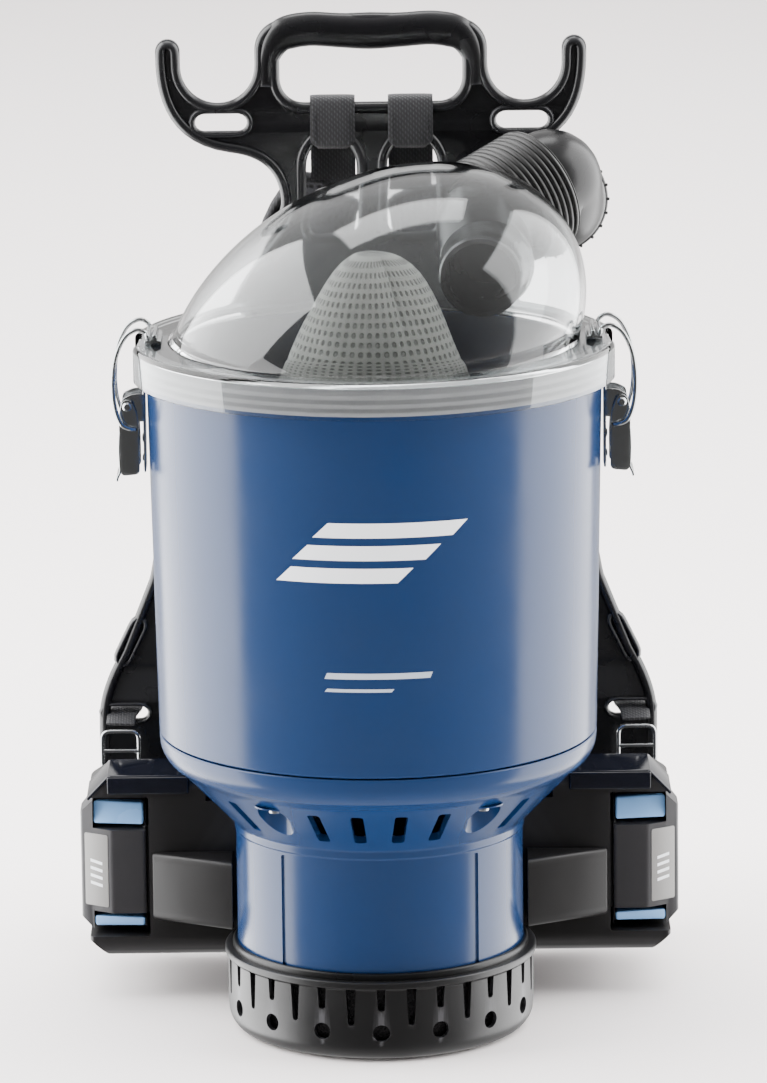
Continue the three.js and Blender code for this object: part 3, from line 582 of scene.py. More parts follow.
@dataclass(frozen=True)
class WovenWebbing(Finish):
    """Polyester webbing: ribs of thick warp with weft picks between them."""

    pitch: float = 1.6
    # Paler colour for the raised crowns of the weave: a painted highlight.
    lighter: str = "#3a3a3d"

    def texture(self, tree: bpy.types.NodeTree, shader: bpy.types.Node) -> None:
        """Ribs across X crossed by picks, as relief and as paler crowns: a painted highlight on the raised weave."""
        place = self.place(tree)
        keys = {"Scale": 1 / (self.pitch * MM) / 3.2, "Distortion": 0.5, "Detail": 1.0}
        ribs = add_node(tree, "TexWave", {"bands_direction": "X", **keys}, {"Vector": place})
        picks = add_node(tree, "TexWave", {"bands_direction": "DIAGONAL", **keys}, {"Vector": place})
        weave = add_node(tree, "Math", {"operation": "MULTIPLY"}, {0: ribs.outputs["Fac"], 1: picks.outputs["Fac"]})
        self.relief(tree, shader, weave.outputs[0], 0.2)
        self.shades(tree, shader, self.spread(tree, weave.outputs[0], 0.0, 0.8, 0.1, 0.9), self.lighter)


@dataclass(frozen=True)
class KnitMesh(Finish):
    """Spacer mesh over foam: a knit with rows of small open cells."""

    cell: float = 4.0
    # Paler colour for the raised net round the cells: a painted highlight, the cells left dark as painted shade.
    lighter: str = "#3a3b40"

    def texture(self, tree: bpy.types.NodeTree, shader: bpy.types.Node) -> None:
        """Cells as dents with a paler net round them, and a soft fuzz: a painted highlight on the net and painted shade
        in the cells.
        """
        cells = add_node(
            tree,
            "TexVoronoi",
            {"Scale": 1 / (self.cell * MM), "Randomness": 0.25},
            {"Vector": self.place(tree)},
        ).outputs["Distance"]
        net = self.spread(tree, cells, 0.0, 1.0, 0.22, 0.5)
        bumped = self.relief(tree, shader, net, 0.5)
        self.relief(tree, shader, self.grain(tree, 1.5), 0.1, bumped)
        self.shades(tree, shader, net, self.lighter)


@dataclass(frozen=True)
class PunchedFelt(Finish):
    """Needled polyester felt with rows of embossed dots, pale grey and dusty."""

    dots: int = 58  # round the whole bag, so about 5 mm apart
    rise: float = 5.2
    # Colour of the dented dots: painted shade in each dent.
    dark: str = "#6b6a66"

    def texture(self, tree: bpy.types.NodeTree, shader: bpy.types.Node) -> None:
        """Staggered dots where cos(n * angle) * cos(2 pi z / rise) is high, dented and darkened as painted shade; fuzz
        over all.
        """
        xyz = add_node(tree, "SeparateXYZ", links={0: self.place(tree)})
        angle = add_node(tree, "Math", {"operation": "ARCTAN2"}, {0: xyz.outputs["Y"], 1: xyz.outputs["X"]})
        turns = add_node(tree, "Math", {"operation": "MULTIPLY", 1: float(self.dots) / 2}, {0: angle.outputs[0]})
        rows = add_node(
            tree, "Math", {"operation": "MULTIPLY", 1: math.tau / (self.rise * 2 * MM)}, {0: xyz.outputs["Z"]}
        )
        across = add_node(tree, "Math", {"operation": "COSINE"}, {0: turns.outputs[0]})
        upward = add_node(tree, "Math", {"operation": "COSINE"}, {0: rows.outputs[0]})
        both = add_node(tree, "Math", {"operation": "MULTIPLY"}, {0: across.outputs[0], 1: upward.outputs[0]})
        size = add_node(tree, "Math", {"operation": "ABSOLUTE"}, {0: both.outputs[0]})
        dot = self.spread(tree, size.outputs[0], 0.0, 1.0, 0.5, 0.8)
        flat = add_node(tree, "Math", {"operation": "SUBTRACT", 0: 1.0}, {1: dot})
        bumped = self.relief(tree, shader, flat.outputs[0], 0.9)
        self.relief(tree, shader, self.grain(tree, 2.0, 6), 0.35, bumped)
        self.shades(tree, shader, dot, self.dark)


@dataclass(frozen=True)
class OpenFoam(Finish):
    """Reticulated polyether foam: open cells about 1.5 mm wide."""

    def texture(self, tree: bpy.types.NodeTree, shader: bpy.types.Node) -> None:
        """Cell walls stand proud of deep cells."""
        cells = add_node(tree, "TexVoronoi", {"Scale": 1 / (1.5 * MM)}, {"Vector": self.place(tree)})
        self.relief(tree, shader, cells.outputs["Distance"], 0.8)


@dataclass(frozen=True)
class WoundCopper(Finish):
    """Enamelled copper windings: fine bright turns."""

    def texture(self, tree: bpy.types.NodeTree, shader: bpy.types.Node) -> None:
        """Turns 0.8 mm apart as rings along Z."""
        keys = {"bands_direction": "Z", "Scale": 1 / (0.8 * MM) / 3.2}
        turns = add_node(tree, "TexWave", keys, {"Vector": self.place(tree)})
        self.relief(tree, shader, turns.outputs["Fac"], 0.2)


TANK_BLUE = GlossPlastic("tank_abs_gloss_blue", "#112c52", 0.2, extra=(("IOR", 1.45),))
# The tank's blue made darker for its inner wall: painted shade.
TANK_INSIDE_SHADE = GlossPlastic("tank_abs_inner_shade", "#101a2c", 0.4, extra=(("IOR", 1.4),))
BLACK_ABS = MouldedPlastic("abs_black_moulded", "#131314", 0.36, extra=(("IOR", 1.53),))
FRAME_BLACK = MouldedPlastic("nylon_black_frame", "#0e0e10", 0.25, grain_depth=0.015, extra=(("IOR", 1.53),))
CRADLE_GREY = MouldedPlastic(
    "abs_dark_cradle", "#171616", 0.34, grain_depth=0.025, worn="#3a3a3d", extra=(("IOR", 1.45),)
)
GLOSS_BLACK = GlossPlastic("abs_gloss_black_cover", "#0c0e16", 0.08, extra=(("IOR", 1.53),))
LID_CLEAR = ClearPlastic(
    "polycarbonate_clear", "#f6fafb", 0.03, extra=(("Transmission Weight", 1.0), ("IOR", 1.45))
)
SEAL_GREY = MattRubber("rubber_grey_seal", "#8d8c8d", 0.3, bloom="#a3a2a2")
RIB_RUBBER = MattRubber("rubber_black_ribbed", "#0e0e0e", 0.38, bloom="#1f1f1f")
DUCT_BLACK = MouldedPlastic(
    "polypropylene_black_duct", "#0b0b0c", 0.3, grain_depth=0.01, worn="#19191b", extra=(("IOR", 1.42),)
)
COLLAR_GREY = GlossPlastic("abs_grey_collar", "#5c5c5c", 0.22, extra=(("IOR", 1.53),))
STEEL = PlatedSteel("steel_nickel_plated", "#c6c8c9", 0.17, 1.0)
BUTTON_BLUE = GlossPlastic("abs_pale_blue_button", "#78a6d8", 0.24, extra=(("IOR", 1.53),))
LABEL_GREY = Finish("polyester_label_grey", "#7c7c7a", 0.42)
PRINT_WHITE = Finish("screen_ink_white", "#e9eef2", 0.38)
PRINT_GREY = Finish("screen_ink_grey", "#a9b4c2", 0.4)
WEBBING = WovenWebbing("polyester_webbing_charcoal", "#1e1e20", 0.6, extra=(("Sheen Weight", 0.08),))
MESH = KnitMesh("spacer_mesh_black", "#0f1011", 0.85, extra=(("Sheen Weight", 0.05),))
BINDING = WovenWebbing("edge_binding_black", "#121214", 0.8, pitch=1.8, lighter="#26262a")
FELT = PunchedFelt("needled_felt_grey", "#96958f", 0.95, extra=(("Sheen Weight", 0.2),))
FOAM = OpenFoam("polyether_foam_black", "#18181a", 0.95)
COPPER = WoundCopper("enamelled_copper", "#b3672f", 0.3, 1.0)
BOARD = GlossPlastic("glass_epoxy_board", "#1c5a34", 0.3)
FAN_GREY = MouldedPlastic("nylon_grey_fan", "#8f9291", 0.45)


def place(piece: bpy.types.Object, body: str, finish: Finish, slot: str, *nodes: str) -> bpy.types.Object:
    """Dresses a piece, rides it on a body and hides the CAD nodes that it stands for.

    Args:
        piece: the object.
        body: the CAD body that carries it.
        finish: its surface.
        slot: the record's material slot that it belongs to; not used.
        nodes: CAD nodes that it replaces.
    """
    piece.data.materials.clear()
    piece.data.materials.append(finish.material())
    if nodes:
        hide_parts(*nodes)
    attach(piece, body)
    log.info("%s: %d faces, on %s", piece.name, len(piece.data.polygons), body)
    return piece


def pair(form: Form, name: str, body: str, finish: Finish, slot: str, node: str = "", sharp: float = 35) -> None:
    """Makes a right-hand piece and its mirror image; {} in name, body and node stands for the side."""
    for side, shape in (("right", form), ("left", form.mirrored())):
        nodes = [node.format(side)] if node else []
        place(make(shape, name.format(side), sharp), body.format(side), finish, slot, *nodes)


# ---------------------------------------------------------------- tank, motor housing and foot


@dataclass
class Tank:
    """The blue tank and the motor housing under it."""

    seam: float = 178.0
    rim: float = 400.0
    low_radius: float = 127.0
    top_radius: float = 131.0
    bead_radius: float = 134.0
    wall: float = 3.0
    neck_radius: float = 83.5
    neck_low: float = 45.5
    pocket_angles: tuple[float, ...] = (-35.0, 35.0, 180.0)

    def build(self) -> None:
        """Makes the tank, its printed stripes and the housing with its louvres and screws."""
        self.shell()
        self.stripes()
        self.housing()
        self.pockets()

    def shell(self) -> None:
        """The tapered tank: a closed section turned about Z, with a rolled bead at its rim."""
        s, r, top = self.seam + 0.35, self.low_radius, self.top_radius
        section = softened(
            [
                (33, s), (r - 0.9, s, 0.4), (r, s + 1.0, 0.5), (top, self.rim - 8.5, 1), (
                    self.bead_radius, self.rim - 5.5, 1.5
                ),
                (self.bead_radius, self.rim, 1.6), (top - self.wall, self.rim, 1.0), (top - self.wall, self.rim - 9, 1),
                (r - self.wall, s + 9, 5), (r - 12, s + 3.6, 5), (33, s + 3.6),
            ],
            1.0,
        )
        shell = place(make(revolved(section, 220, ring=True), "tank_shell"), "main", TANK_BLUE, "tank", "tank")
        # Faces inside the wall get the darker blue: painted shade inside the tank.
        shell.data.materials.append(TANK_INSIDE_SHADE.material())
        for face in shell.data.polygons:
            x, y, z = face.center / MM
            face.material_index = int(math.hypot(x, y) < self.radius_at(z) - 1.2 and z < self.rim - 0.5)

    def radius_at(self, height: Array) -> Array:
        """The tank's outer radius, a straight line between the seam and the bead."""
        t = (height - self.seam) / (self.rim - 8 - self.seam)
        return self.low_radius + (self.top_radius - self.low_radius) * t

    def patch(self, corners: tuple[tuple[float, float], ...], rise: float = 0.12) -> Form:
        """A thin four-cornered patch on the tank's front.

        Args:
            corners: (distance round from the front, height), anticlockwise from the lower left.
            rise: how far it stands off the tank.

        Returns:
            The patch: blended corners s, h put at angle s / radius on the tank.
        """
        c = np.asarray(corners, float)
        u, v = np.linspace(0, 1, 25)[:, None, None], np.linspace(0, 1, 9)[None, :, None]
        flat = (c[0] * (1 - u) + c[1] * u) * (1 - v) + (c[3] * (1 - u) + c[2] * u) * v
        layers = []
        for out in (0.0, rise):
            r = self.radius_at(flat[..., 1]) + out + 0.02
            a = flat[..., 0] / self.radius_at(flat[..., 1]) - np.pi / 2
            layers.append(np.stack([r * np.cos(a), r * np.sin(a), flat[..., 1]], axis=-1))
        edge = [np.concatenate([g[:, 0], g[-1, 1:], g[-2::-1, -1], g[0, -2:0:-1]]) for g in layers]
        return sheet(layers[0], around=False) + sheet(layers[1], around=False) + sheet(np.array(edge))

    def stripes(self) -> None:
        """Plain slanted stripes printed on the tank, and two short rules under them."""
        lean = 9.0
        rows = [(318.0, -36.0, 44.0), (305.0, -48.0, 28.0), (292.0, -58.0, 12.0)]
        bars = [
            self.patch(((a, z), (b, z), (b + lean, z + 8.5), (a + lean, z + 8.5)))
            for z, a, b in rows
        ]
        place(make(joined(bars), "tank_print_stripes", 60), "main", PRINT_WHITE, "tank")
        rules = [
            self.patch(((a, z), (b, z), (b + 1.5, z + t), (a + 1.5, z + t)))
            for z, a, b, t in ((236.5, -30, 30, 3.4), (229.0, -30, 8, 1.8))
        ]
        place(make(joined(rules), "tank_print_rules", 60), "main", PRINT_GREY, "tank")

    def cone_height(self, radius: Array) -> Array:
        """The height of the louvred cone's outer face at a radius."""
        return np.interp(radius, [84.5, 116.0], [125.5, 157.5])

    def housing(self) -> None:
        """Neck, louvred cone and bowl in one shell, cut by louvres, grooves and screw pockets."""
        n, s = self.neck_radius, self.seam - 0.35
        section = softened(
            [
                (
                    72, self.neck_low, 0.8
                ), (n, self.neck_low, 0.8), (n, 119.2, 0.6), (n + 0.8, 120.2, 0.5), (n + 0.9, 124.6, 1.2),
                (115.6, 157.0, 2.5), (122.4, 162.0, 5), (126.4, 169.0, 4), (127.0, s - 1.0, 0.5),
                (126.2, s, 0.4), (122.6, s, 0.5), (122.2, 171, 2), (118, 164.8, 3), (112, 160.5, 2),
                (81, 128, 2), (80.5, 122, 1), (80.5, self.neck_low + 3, 0.5), (72, self.neck_low + 3, 0.8),
            ],
            1.0, 5,
        )
        shell = make(revolved(section, 288, ring=True), "motor_housing_shell")
        slot = plate([rounded_rectangle(7.4, 28, 1.8)], -16, 16, 0.02, Facing.TOP, 1)
        louvre = slot.aimed((100.5, 0, 141.5), (0.71, 0, -0.71), (0, 1, 0))
        angles = [-90 + a for a in (-20, -6.67, 6.67, 20)] + [-90 + a for a in range(50, 131, 20)]
        angles += [-90 - a for a in range(50, 131, 20)]
        groove = block((n - 1.4, -1.7, 30), (n + 6, 1.7, 117.5), 1.0)
        pocket = revolved([(0, 100), (10.4, 100), (10.4, 150.2), (9.2, 151.6), (0, 151.6)], 48)
        cutters = [
            louvre.repeated(angles),
            groove.repeated([-90 + a for a in (-41.5, 41.5, 138.5, -138.5)]),
            pocket.moved(103).repeated([-90 + a for a in self.pocket_angles]),
            revolved([(0, 70), (6.5, 70), (6.5, 92), (0, 92)], 24).aimed((0, 0, 80), (0, 1, 0)),
        ]
        carve(shell, joined(cutters), 28)
        place(shell, "main", TANK_BLUE, "tank", "motor_housing")

    def pockets(self) -> None:
        """Cups that line the screw pockets, trimmed to the cone, and a screw in each."""
        cup = revolved(
            [(10.35, 128), (10.35, 150.2), (9.2, 151.5), (4, 151.5), (4, 153.4), (12.0, 153.4), (12.0, 128)], 60,
            ring=True
        )

        def trim(p: Array) -> Array:
            """Raises each point to just inside the cone's outer face."""
            radius = np.hypot(p[:, 0], p[:, 1])
            p[:, 2] = np.maximum(p[:, 2], np.minimum(self.cone_height(radius) + 0.25, 152.6))
            return p

        cups = cup.moved(103).mapped(trim).repeated([-90 + a for a in self.pocket_angles])
        place(make(cups, "screw_pockets"), "main", TANK_BLUE, "tank")
        head = [
            (0, 150.6), (1.5, 150.4), (1.7, 148.9), (2.8, 148.3), (3.7, 148.9), (4.1, 150.3), (4.0, 151.1), (1.7, 151.2)
        ]
        screw = revolved([*head, (1.7, 155.3), (0, 155.5)], 28).moved(103)
        for k, angle in enumerate(self.pocket_angles, start=1):
            piece = make(screw.turned(angle - 90), f"housing_screw_head_{k}")
            place(piece, "main", STEEL, "steel", f"housing_screw_{k}")


@dataclass
class Foot:
    """The black slotted grille that the machine stands on, and the foam inside it."""

    radius: float = 89.3
    lip: float = 91.0
    height: float = 48.5
    inner: float = 84.2

    def build(self) -> None:
        """Makes the grille, a black ring of painted shade at the neck's base, and the foam."""
        section = softened(
            [
                (0.01, 0), (76, 0, 2), (84.5, 1.6, 3), (88.8, 7.5, 5), (self.radius, 16, 3), (self.radius, 43.6, 1),
                (self.lip, 44.6, 0.7), (self.lip, self.height, 1.4), (
                    self.inner, self.height, 1.0
                ), (self.inner, 45.2, 0.5),
                (86.3, 43.5, 0.5), (86.3, 11, 3), (81, 4.5, 3), (0.01, 4.5),
            ],
            1.0, 5, ring=False,
        )
        grille = make(revolved(section, 288), "foot_grille_body")
        hole = revolved([(0, 82), (5, 82), (5, 96), (0, 96)], 28).aimed((0, 0, 18), (1, 0, 0))
        short = plate(
            [softened([(-1.9, 31.2, 1.8), (1.9, 31.2, 1.8), (2.7, 44.3), (-2.7, 44.3)], 0.4, 6)], 83, 96, 0.02,
            Facing.SIDE, 1
        )
        long = plate(
            [softened([(-1.7, 22.2, 1.6), (1.7, 22.2, 1.6), (3.0, 44.3), (-3.0, 44.3)], 0.4, 6)], 83, 96, 0.02,
            Facing.SIDE, 1
        )
        even = [-90 + 22.5 * k for k in range(16)]
        cutters = [hole.repeated(even), short.repeated(even), long.repeated([a + 11.25 for a in even])]
        carve(grille, joined(cutters), 30)
        place(grille, "main", BLACK_ABS, "black_plastic", "foot_grille")
        # A black ring round the neck's base where it meets the grille: a dark piece put there as painted shade.
        neck_shade = revolved(
            softened([(83.6, 46.5), (86.6, 46.5), (86.4, 51.6, 1.0), (85.2, 52.6, 1.0), (83.6, 52.2)], 0.4), 200,
            ring=True
        )
        place(make(neck_shade, "neck_base_shade_ring"), "main", DUCT_BLACK, "black_plastic")
        foam = revolved(softened([(66, 8), (83, 8), (83, 43), (66, 43)], 2), 120, ring=True)
        place(make(foam, "exhaust_foam_ring"), "main", FOAM, "exhaust_foam", "exhaust_foam")


# ---------------------------------------------------------------- lid, filter and inlet


@dataclass
class Lid:
    """The clear leaning dome with its flange and skirt, the grey seal, and the two catches."""

    base: float = 405.0
    rise: float = 99.5
    radius: float = 117.0
    lean: tuple[float, float] = (36.0, 20.0)
    wall: float = 2.6
    top: float = 408.0

    def build(self) -> None:
        """Makes the dome, the seal with its ribbed lips, and the catches."""
        self.dome()
        self.seal()
        self.catches()

    def dome(self) -> None:
        """Outer and inner quarter ellipses turned about Z and leaned: x += lean * (z - base) / rise."""
        a = np.linspace(0, np.pi / 2, 48)[::-1]
        outer = np.column_stack([self.radius * np.cos(a), self.base + self.rise * np.sin(a)])
        inner = np.column_stack(
            [(self.radius - self.wall) * np.cos(a), self.base + (self.rise - self.wall) * np.sin(a)]
        )[::-1]
        rim = softened(
            [
                (
                    self.radius + 1.6, 407.4, 1.5
                ), (134.6, 407.6, 1), (138.0, self.top, 1.2), (139.2, 406.0, 1.2), (139.2, 386.5, 0.6),
                (136.9, 386.5, 0.6), (136.9, 404.4, 0.8), (self.radius - self.wall, 404.4, 0.8),
            ],
            1.0, 4, ring=False,
        )
        section = np.vstack([outer[:-2], rim, inner[1:]])
        section[0, 0] = section[-1, 0] = 0.001

        def leaned(p: Array) -> Array:
            """Leans what is above the base, fully inside the dome's foot and not at all on the flange outside it."""
            t = np.maximum(p[:, 2] - self.base, 0) / self.rise * ease(118.6, 116.9, np.hypot(p[:, 0], p[:, 1]))
            p[:, :2] += t[:, None] * self.lean
            return p

        shell = make(revolved(section, 240).mapped(leaned), "lid_dome", 32)
        notch = block((133.2, -19.5, 370), (160, 19.5, 420), 2)
        carve(shell, notch + notch.mirrored(), 32)
        place(shell, "lid", LID_CLEAR, "clear_plastic", "dome_lid")

    def seal(self) -> None:
        """The soft grey channel that hugs the tank's bead under the skirt, with three lips outside."""
        section = softened(
            [
                (134.4, 388.6), (135.9, 388.6), (136.4, 391, 0.5), (135.7, 393.2, 0.5), (136.4, 395.5, 0.5),
                (135.7, 398, 0.5), (136.4, 400.4, 0.5), (136.3, 404.0), (128.2, 404.0), (128.2, 400.4), (134.4, 400.4),
            ],
            0.5,
        )
        place(make(revolved(section, 200, ring=True), "lid_seal_ring"), "lid", SEAL_GREY, "grey_rubber", "lid_seal")

    def catches(self) -> None:
        """A pressed plate with a raised hook on each side of the flange."""
        profile = softened(
            [
                (121.6, 408.35), (131.3, 408.35), (131.3, 410.4, 0.8), (127, 410.5, 1.6), (126.3, 413.8, 0.8),
                (124.6, 413.8, 0.8), (123.8, 410.4, 1.5), (121.6, 410.2)
            ],
            0.5
        )
        hook = plate([profile], -17, 17, 0.5, Facing.FRONT)
        pair(hook, "lid_catch_plate_{}", "lid", STEEL, "steel", "lid_catch_{}")


@dataclass
class FilterCone:
    """The grey felt bag over its frame, seen through the dome."""

    base_radius: float = 84.0
    base: float = 192.4

    def build(self) -> None:
        """A blunt bullet drawn through a few radii and heights, creased between three lobes near its top."""
        stations = [
            (84, 192.4), (80, 226), (72.5, 282), (62, 340), (52.5, 385), (46, 405), (40.5, 420), (34, 434), (26, 446),
            (17, 453.6), (8, 456.6), (0.4, 457)
        ]
        line = smooth_path(stations, 110)
        a = np.linspace(0, 2 * np.pi, 240, endpoint=False)[None, :]
        r, z = line[:, :1], line[:, 1:]
        near = ease(395, 448, z) * (1 - ease(454, 457, z))
        fold = np.abs(np.cos(1.5 * (a + np.pi / 2 + 0.6)))
        wave = 0.006 * np.sin(7 * a + z / 18) + 0.004 * np.sin(13 * a - z / 9)
        r = r * (1 - 0.17 * near * (1 - fold**0.6) + wave * ease(200, 240, z) * (1 - ease(440, 452, z)))
        z = z - 2.5 * near * (1 - fold) + 0 * a
        points = np.stack([r * np.cos(a), r * np.sin(a), z], axis=-1)
        place(make(sheet(points, capped=True), "filter_bag", 60), "main", FELT, "filter_cloth", "filter_cone")
        hem = revolved(rounded_rectangle(3.0, 7.0, 1.4) + (self.base_radius - 1.0, self.base + 3.6), 160, ring=True)
        place(make(hem, "filter_hem"), "main", BINDING, "filter_cloth")


@dataclass
class Inlet:
    """The duct inside the dome, the ribbed sleeve over its outer end, the elbow and the swivelling socket."""

    start: tuple[float, float, float] = (57.0, 60.0, 460.5)
    along: tuple[float, float, float] = (0.761, 0.548, 0.347)
    mouth: tuple[float, float, float] = (62.0, 8.0, 440.0)
    mouth_along: tuple[float, float, float] = (0.12, 0.985, 0.12)
    centre: tuple[float, float, float] = (107.0, 124.0, 465.5)
    swivel_along: tuple[float, float, float] = (0.05, 0.993, -0.1)
    bore: float = 20.5
    sleeve_length: float = 54.0

    def at(self, distance: float) -> Array:
        """A point on the sleeve's axis."""
        return np.array(self.start) + unit(self.along) * distance

    def build(self) -> None:
        """Makes each piece along the air's way."""
        self.duct()
        self.sleeve()
        self.elbow()
        self.socket()

    def pipe(self, path: Array, outer: Array, bore: float, across: Array) -> Form:
        """A bent pipe: the outer skin goes along the path, and the bore comes back along it.

        Args:
            path: (n, 3) middle line.
            outer: its outer radius at each point.
            bore: its inner radius.
            across: a direction off the path.

        Returns:
            The closed form.
        """
        ring = circle(1.0, 64)
        skins = []
        for radius in (outer, np.full(len(path), bore)):
            form = swept(path, ring[None] * radius[:, None, None], across)
            skins.append(form.points[: len(path) * 64].reshape(len(path), 64, 3))
        return sheet(np.concatenate([skins[0], skins[1][::-1]]), along=True)

    def duct(self) -> None:
        """A black bent pipe with a flared, rounded mouth."""
        mouth, way = np.array(self.mouth), unit(self.mouth_along)
        path = smooth_path([mouth, mouth + way * 22, mouth + way * 40, self.at(10), self.at(24), self.at(43)], 60)
        s = np.linspace(0, 1, 60)
        outer = 23.4 + 3.6 * ease(0.12, 0.3, s) + 1.3 * np.exp(-((s / 0.03) ** 2)) + 1.0 * np.exp(
            -(((s - 0.33) / 0.02) ** 2)
        )
        outer[0] -= 1.4
        form = self.pipe(path, outer, self.bore, (0.3, 0, 1))
        place(make(form, "inlet_duct_pipe"), "lid", DUCT_BLACK, "black_plastic", "inlet_duct")

    def sleeve(self) -> None:
        """A ribbed rubber sleeve: r = 35.4 + 1.6 |cos|^0.7 along its length, its near end cut to the dome."""
        lid = Lid()
        z = np.linspace(-16, self.sleeve_length, 300)
        rib = np.abs(np.cos(np.pi * z / 3.9)) ** 0.7
        r = 35.4 + 1.6 * rib
        r[-6:] -= np.linspace(0, 1.6, 6) ** 2
        section = np.column_stack([np.concatenate([r, [32.4, 32.4]]), np.concatenate([z, [self.sleeve_length, -16]])])

        def trim(p: Array) -> Array:
            """Slides each point out along the axis until it is clear of the dome."""
            way = unit(self.along)
            for _ in range(40):
                t = np.maximum(p[:, 2] - lid.base, 0) / lid.rise
                level = np.hypot(p[:, 0] - lid.lean[0] * t, p[:, 1] - lid.lean[1] * t) / (lid.radius + 0.6)
                inside = level**2 + (t * lid.rise / (lid.rise + 0.6)) ** 2 < 1
                p[inside] += way * 1.2
            return p

        form = revolved(section, 120, ring=True).aimed(self.start, self.along).mapped(trim)
        piece = make(form, "inlet_sleeve_ribbed", 50)
        place(piece, "lid", RIB_RUBBER, "black_rubber", "inlet_sleeve")

    def elbow(self) -> None:
        """A short smooth elbow with a bead where it meets the sleeve."""
        end = np.array(self.centre) - unit(self.swivel_along) * 2
        path = smooth_path([self.at(47), self.at(54.6), self.at(63), end - unit(self.swivel_along) * 14, end], 60)
        s = np.linspace(0, 1, 60)
        outer = 31.6 - 2.4 * ease(0.15, 0.45, s) + 3.2 * np.exp(-(((s - 0.2) / 0.035) ** 2)) * (s > 0.14)
        form = self.pipe(path, outer, self.bore, (0.2, -0.3, 1))
        place(make(form, "inlet_elbow_pipe"), "lid", DUCT_BLACK, "black_plastic", "inlet_elbow")

    def socket(self) -> None:
        """The grey swivel collar, and the black hose socket with its grip ribs."""
        collar = revolved(
            softened([(21.5, -1.4), (28.8, -1.4), (30.6, 0.2), (30.6, 2.4), (21.5, 2.4)], 0.8), 96, ring=True
        )
        place(
            make(collar.aimed(self.centre, self.swivel_along), "swivel_collar_ring"),
            "hose_swivel", COLLAR_GREY, "grey_plastic", "swivel_collar",
        )
        section = softened(
            [
                (21.5, 2.9), (31.2, 2.9, 1), (32.2, 4.6, 0.8), (31.2, 6.8, 0.8), (30.0, 7.2, 0.5), (28.6, 11.0, 1.2),
                (21.5, 11.0, 0.8)
            ],
            0.5,
        )
        body = revolved(section, 96, ring=True)
        ribs = block((30.2, -0.9, 3.2), (33.0, 0.9, 6.6), 0.7).repeated(range(0, 360, 15))
        form = (body + ribs).aimed(self.centre, self.swivel_along)
        place(make(form, "hose_socket_ring"), "hose_swivel", BLACK_ABS, "black_plastic", "hose_socket")


# ---------------------------------------------------------------- latches


@dataclass
class Latches:
    """A toggle latch on each side: bracket, lever and wire bail."""

    pivot: tuple[float, float] = (142.0, 371.0)
    wire_pivot: tuple[float, float] = (137.6, 358.0)
    wire: float = 1.25

    def build(self) -> None:
        """Makes each latch part for the right and mirrors it."""
        self.bracket()
        self.lever()
        self.bail()

    def bracket(self) -> None:
        """A pressed plate riveted to the tank with two ears."""
        ear_line = softened(
            [(131.7, 361.5), (138.5, 362), (145.4, 367), (145.4, 375), (139, 378), (131.7, 378)], 2.5, 5
        )
        hole = circle(2.0, 20) + self.pivot
        ears = [plate([ear_line, hole], y, y + 1.4, 0.3, Facing.FRONT, 2) for y in (8.6, -10.0)]
        back = block((131.65, -10, 332), (133.0, 10, 381), 0.6)
        rivets = [
            revolved([(0, 1.1), (1.8, 0.9), (3.0, 0.1), (3.2, -0.4), (0, -0.4)], 24).aimed((133.0, 0, z), (1, 0, 0))
            for z in (338.5, 350.5)
        ]
        pair(joined([back, *ears, *rivets]), "latch_bracket_plate_{}", "main", STEEL, "steel", "latch_bracket_{}")

    def lever(self) -> None:
        """A pressed lever: a curved face between two cheeks, with its pin."""
        cheek_line = softened(
            [(135.2, 331.5), (146.2, 330.5), (147.0, 366), (144.5, 375), (139.4, 375), (136, 366), (135.2, 350)], 3.0, 5
        )
        hole = circle(1.65, 16) + self.wire_pivot
        cheeks = [plate([cheek_line, hole], y, y + 1.3, 0.3, Facing.FRONT, 2) for y in (11.7, -13.0)]
        h = np.linspace(362, 327.5, 24)
        bow = 145.9 + 0.9 * np.sin((362 - h) / 34.5 * np.pi) + 2.6 * ease(334, 327.5, h)
        face = swept(np.column_stack([bow, 0 * h, h]), rounded_rectangle(25.4, 1.3, 0.5), (0, 1, 0))
        pin = revolved(
            [(0, -14), (1.6, -14), (1.6, 14), (0, 14)], 20
        ).aimed((self.pivot[0], 0, self.pivot[1]), (0, 1, 0))
        heads = [
            revolved(
                [(0, 1.4), (1.8, 1.2), (2.7, 0.2), (2.7, -0.2), (0, -0.2)], 20
            ).aimed((self.pivot[0], y, self.pivot[1]), (0, y, 0))
            for y in (13.0, -13.0)
        ]
        pair(joined([face, pin, *cheeks, *heads]), "latch_lever_plate_{}", "lever_{}", STEEL, "steel", "latch_lever_{}")

    def bail(self) -> None:
        """One closed wire loop: up both sides, over the lid's catch and through the lever."""
        x0, z0 = self.wire_pivot
        side = [
            (x0, z0), (144.6, 360.8), (148.6, 371), (149.6, 386), (147.6, 401), (142.2, 412.3), (135.2, 416.6),
            (130.4, 414.8), (129.4, 412.2)
        ]
        near = [(x, -16.2, z) for x, z in side]
        far = [(x, 16.2, z) for x, z in reversed(side)]
        corner = [(x0, 0, z0)]
        path = smooth_path(
            [
                *corner, (x0, -13, z0), *near[1:-1], (129.3, -15, 411.9), (129.3, 15, 411.9), *far[1:-1], (x0, 13, z0),
                *corner
            ],
            220
        )[:-1]
        around = np.roll(path, -1, axis=0) - np.roll(path, 1, axis=0)
        across = unit(np.cross(around, (0.93, 0.0, 0.36)))
        form = swept(path, circle(self.wire, 12), across, ring=True)
        pair(form, "latch_bail_wire_{}", "bail_{}", STEEL, "steel", "latch_bail_{}", sharp=70)


# ---------------------------------------------------------------- frame


def even(loop: Array, step: float) -> Array:
    """A closed loop re-cut into equal steps along its length."""
    loop = np.vstack([loop, loop[:1]])
    run = np.concatenate([[0], np.cumsum(np.linalg.norm(np.diff(loop, axis=0), axis=1))])
    at = np.linspace(0, run[-1], max(12, int(run[-1] / step)), endpoint=False)
    return np.column_stack([np.interp(at, run, loop[:, k]) for k in (0, 1)])


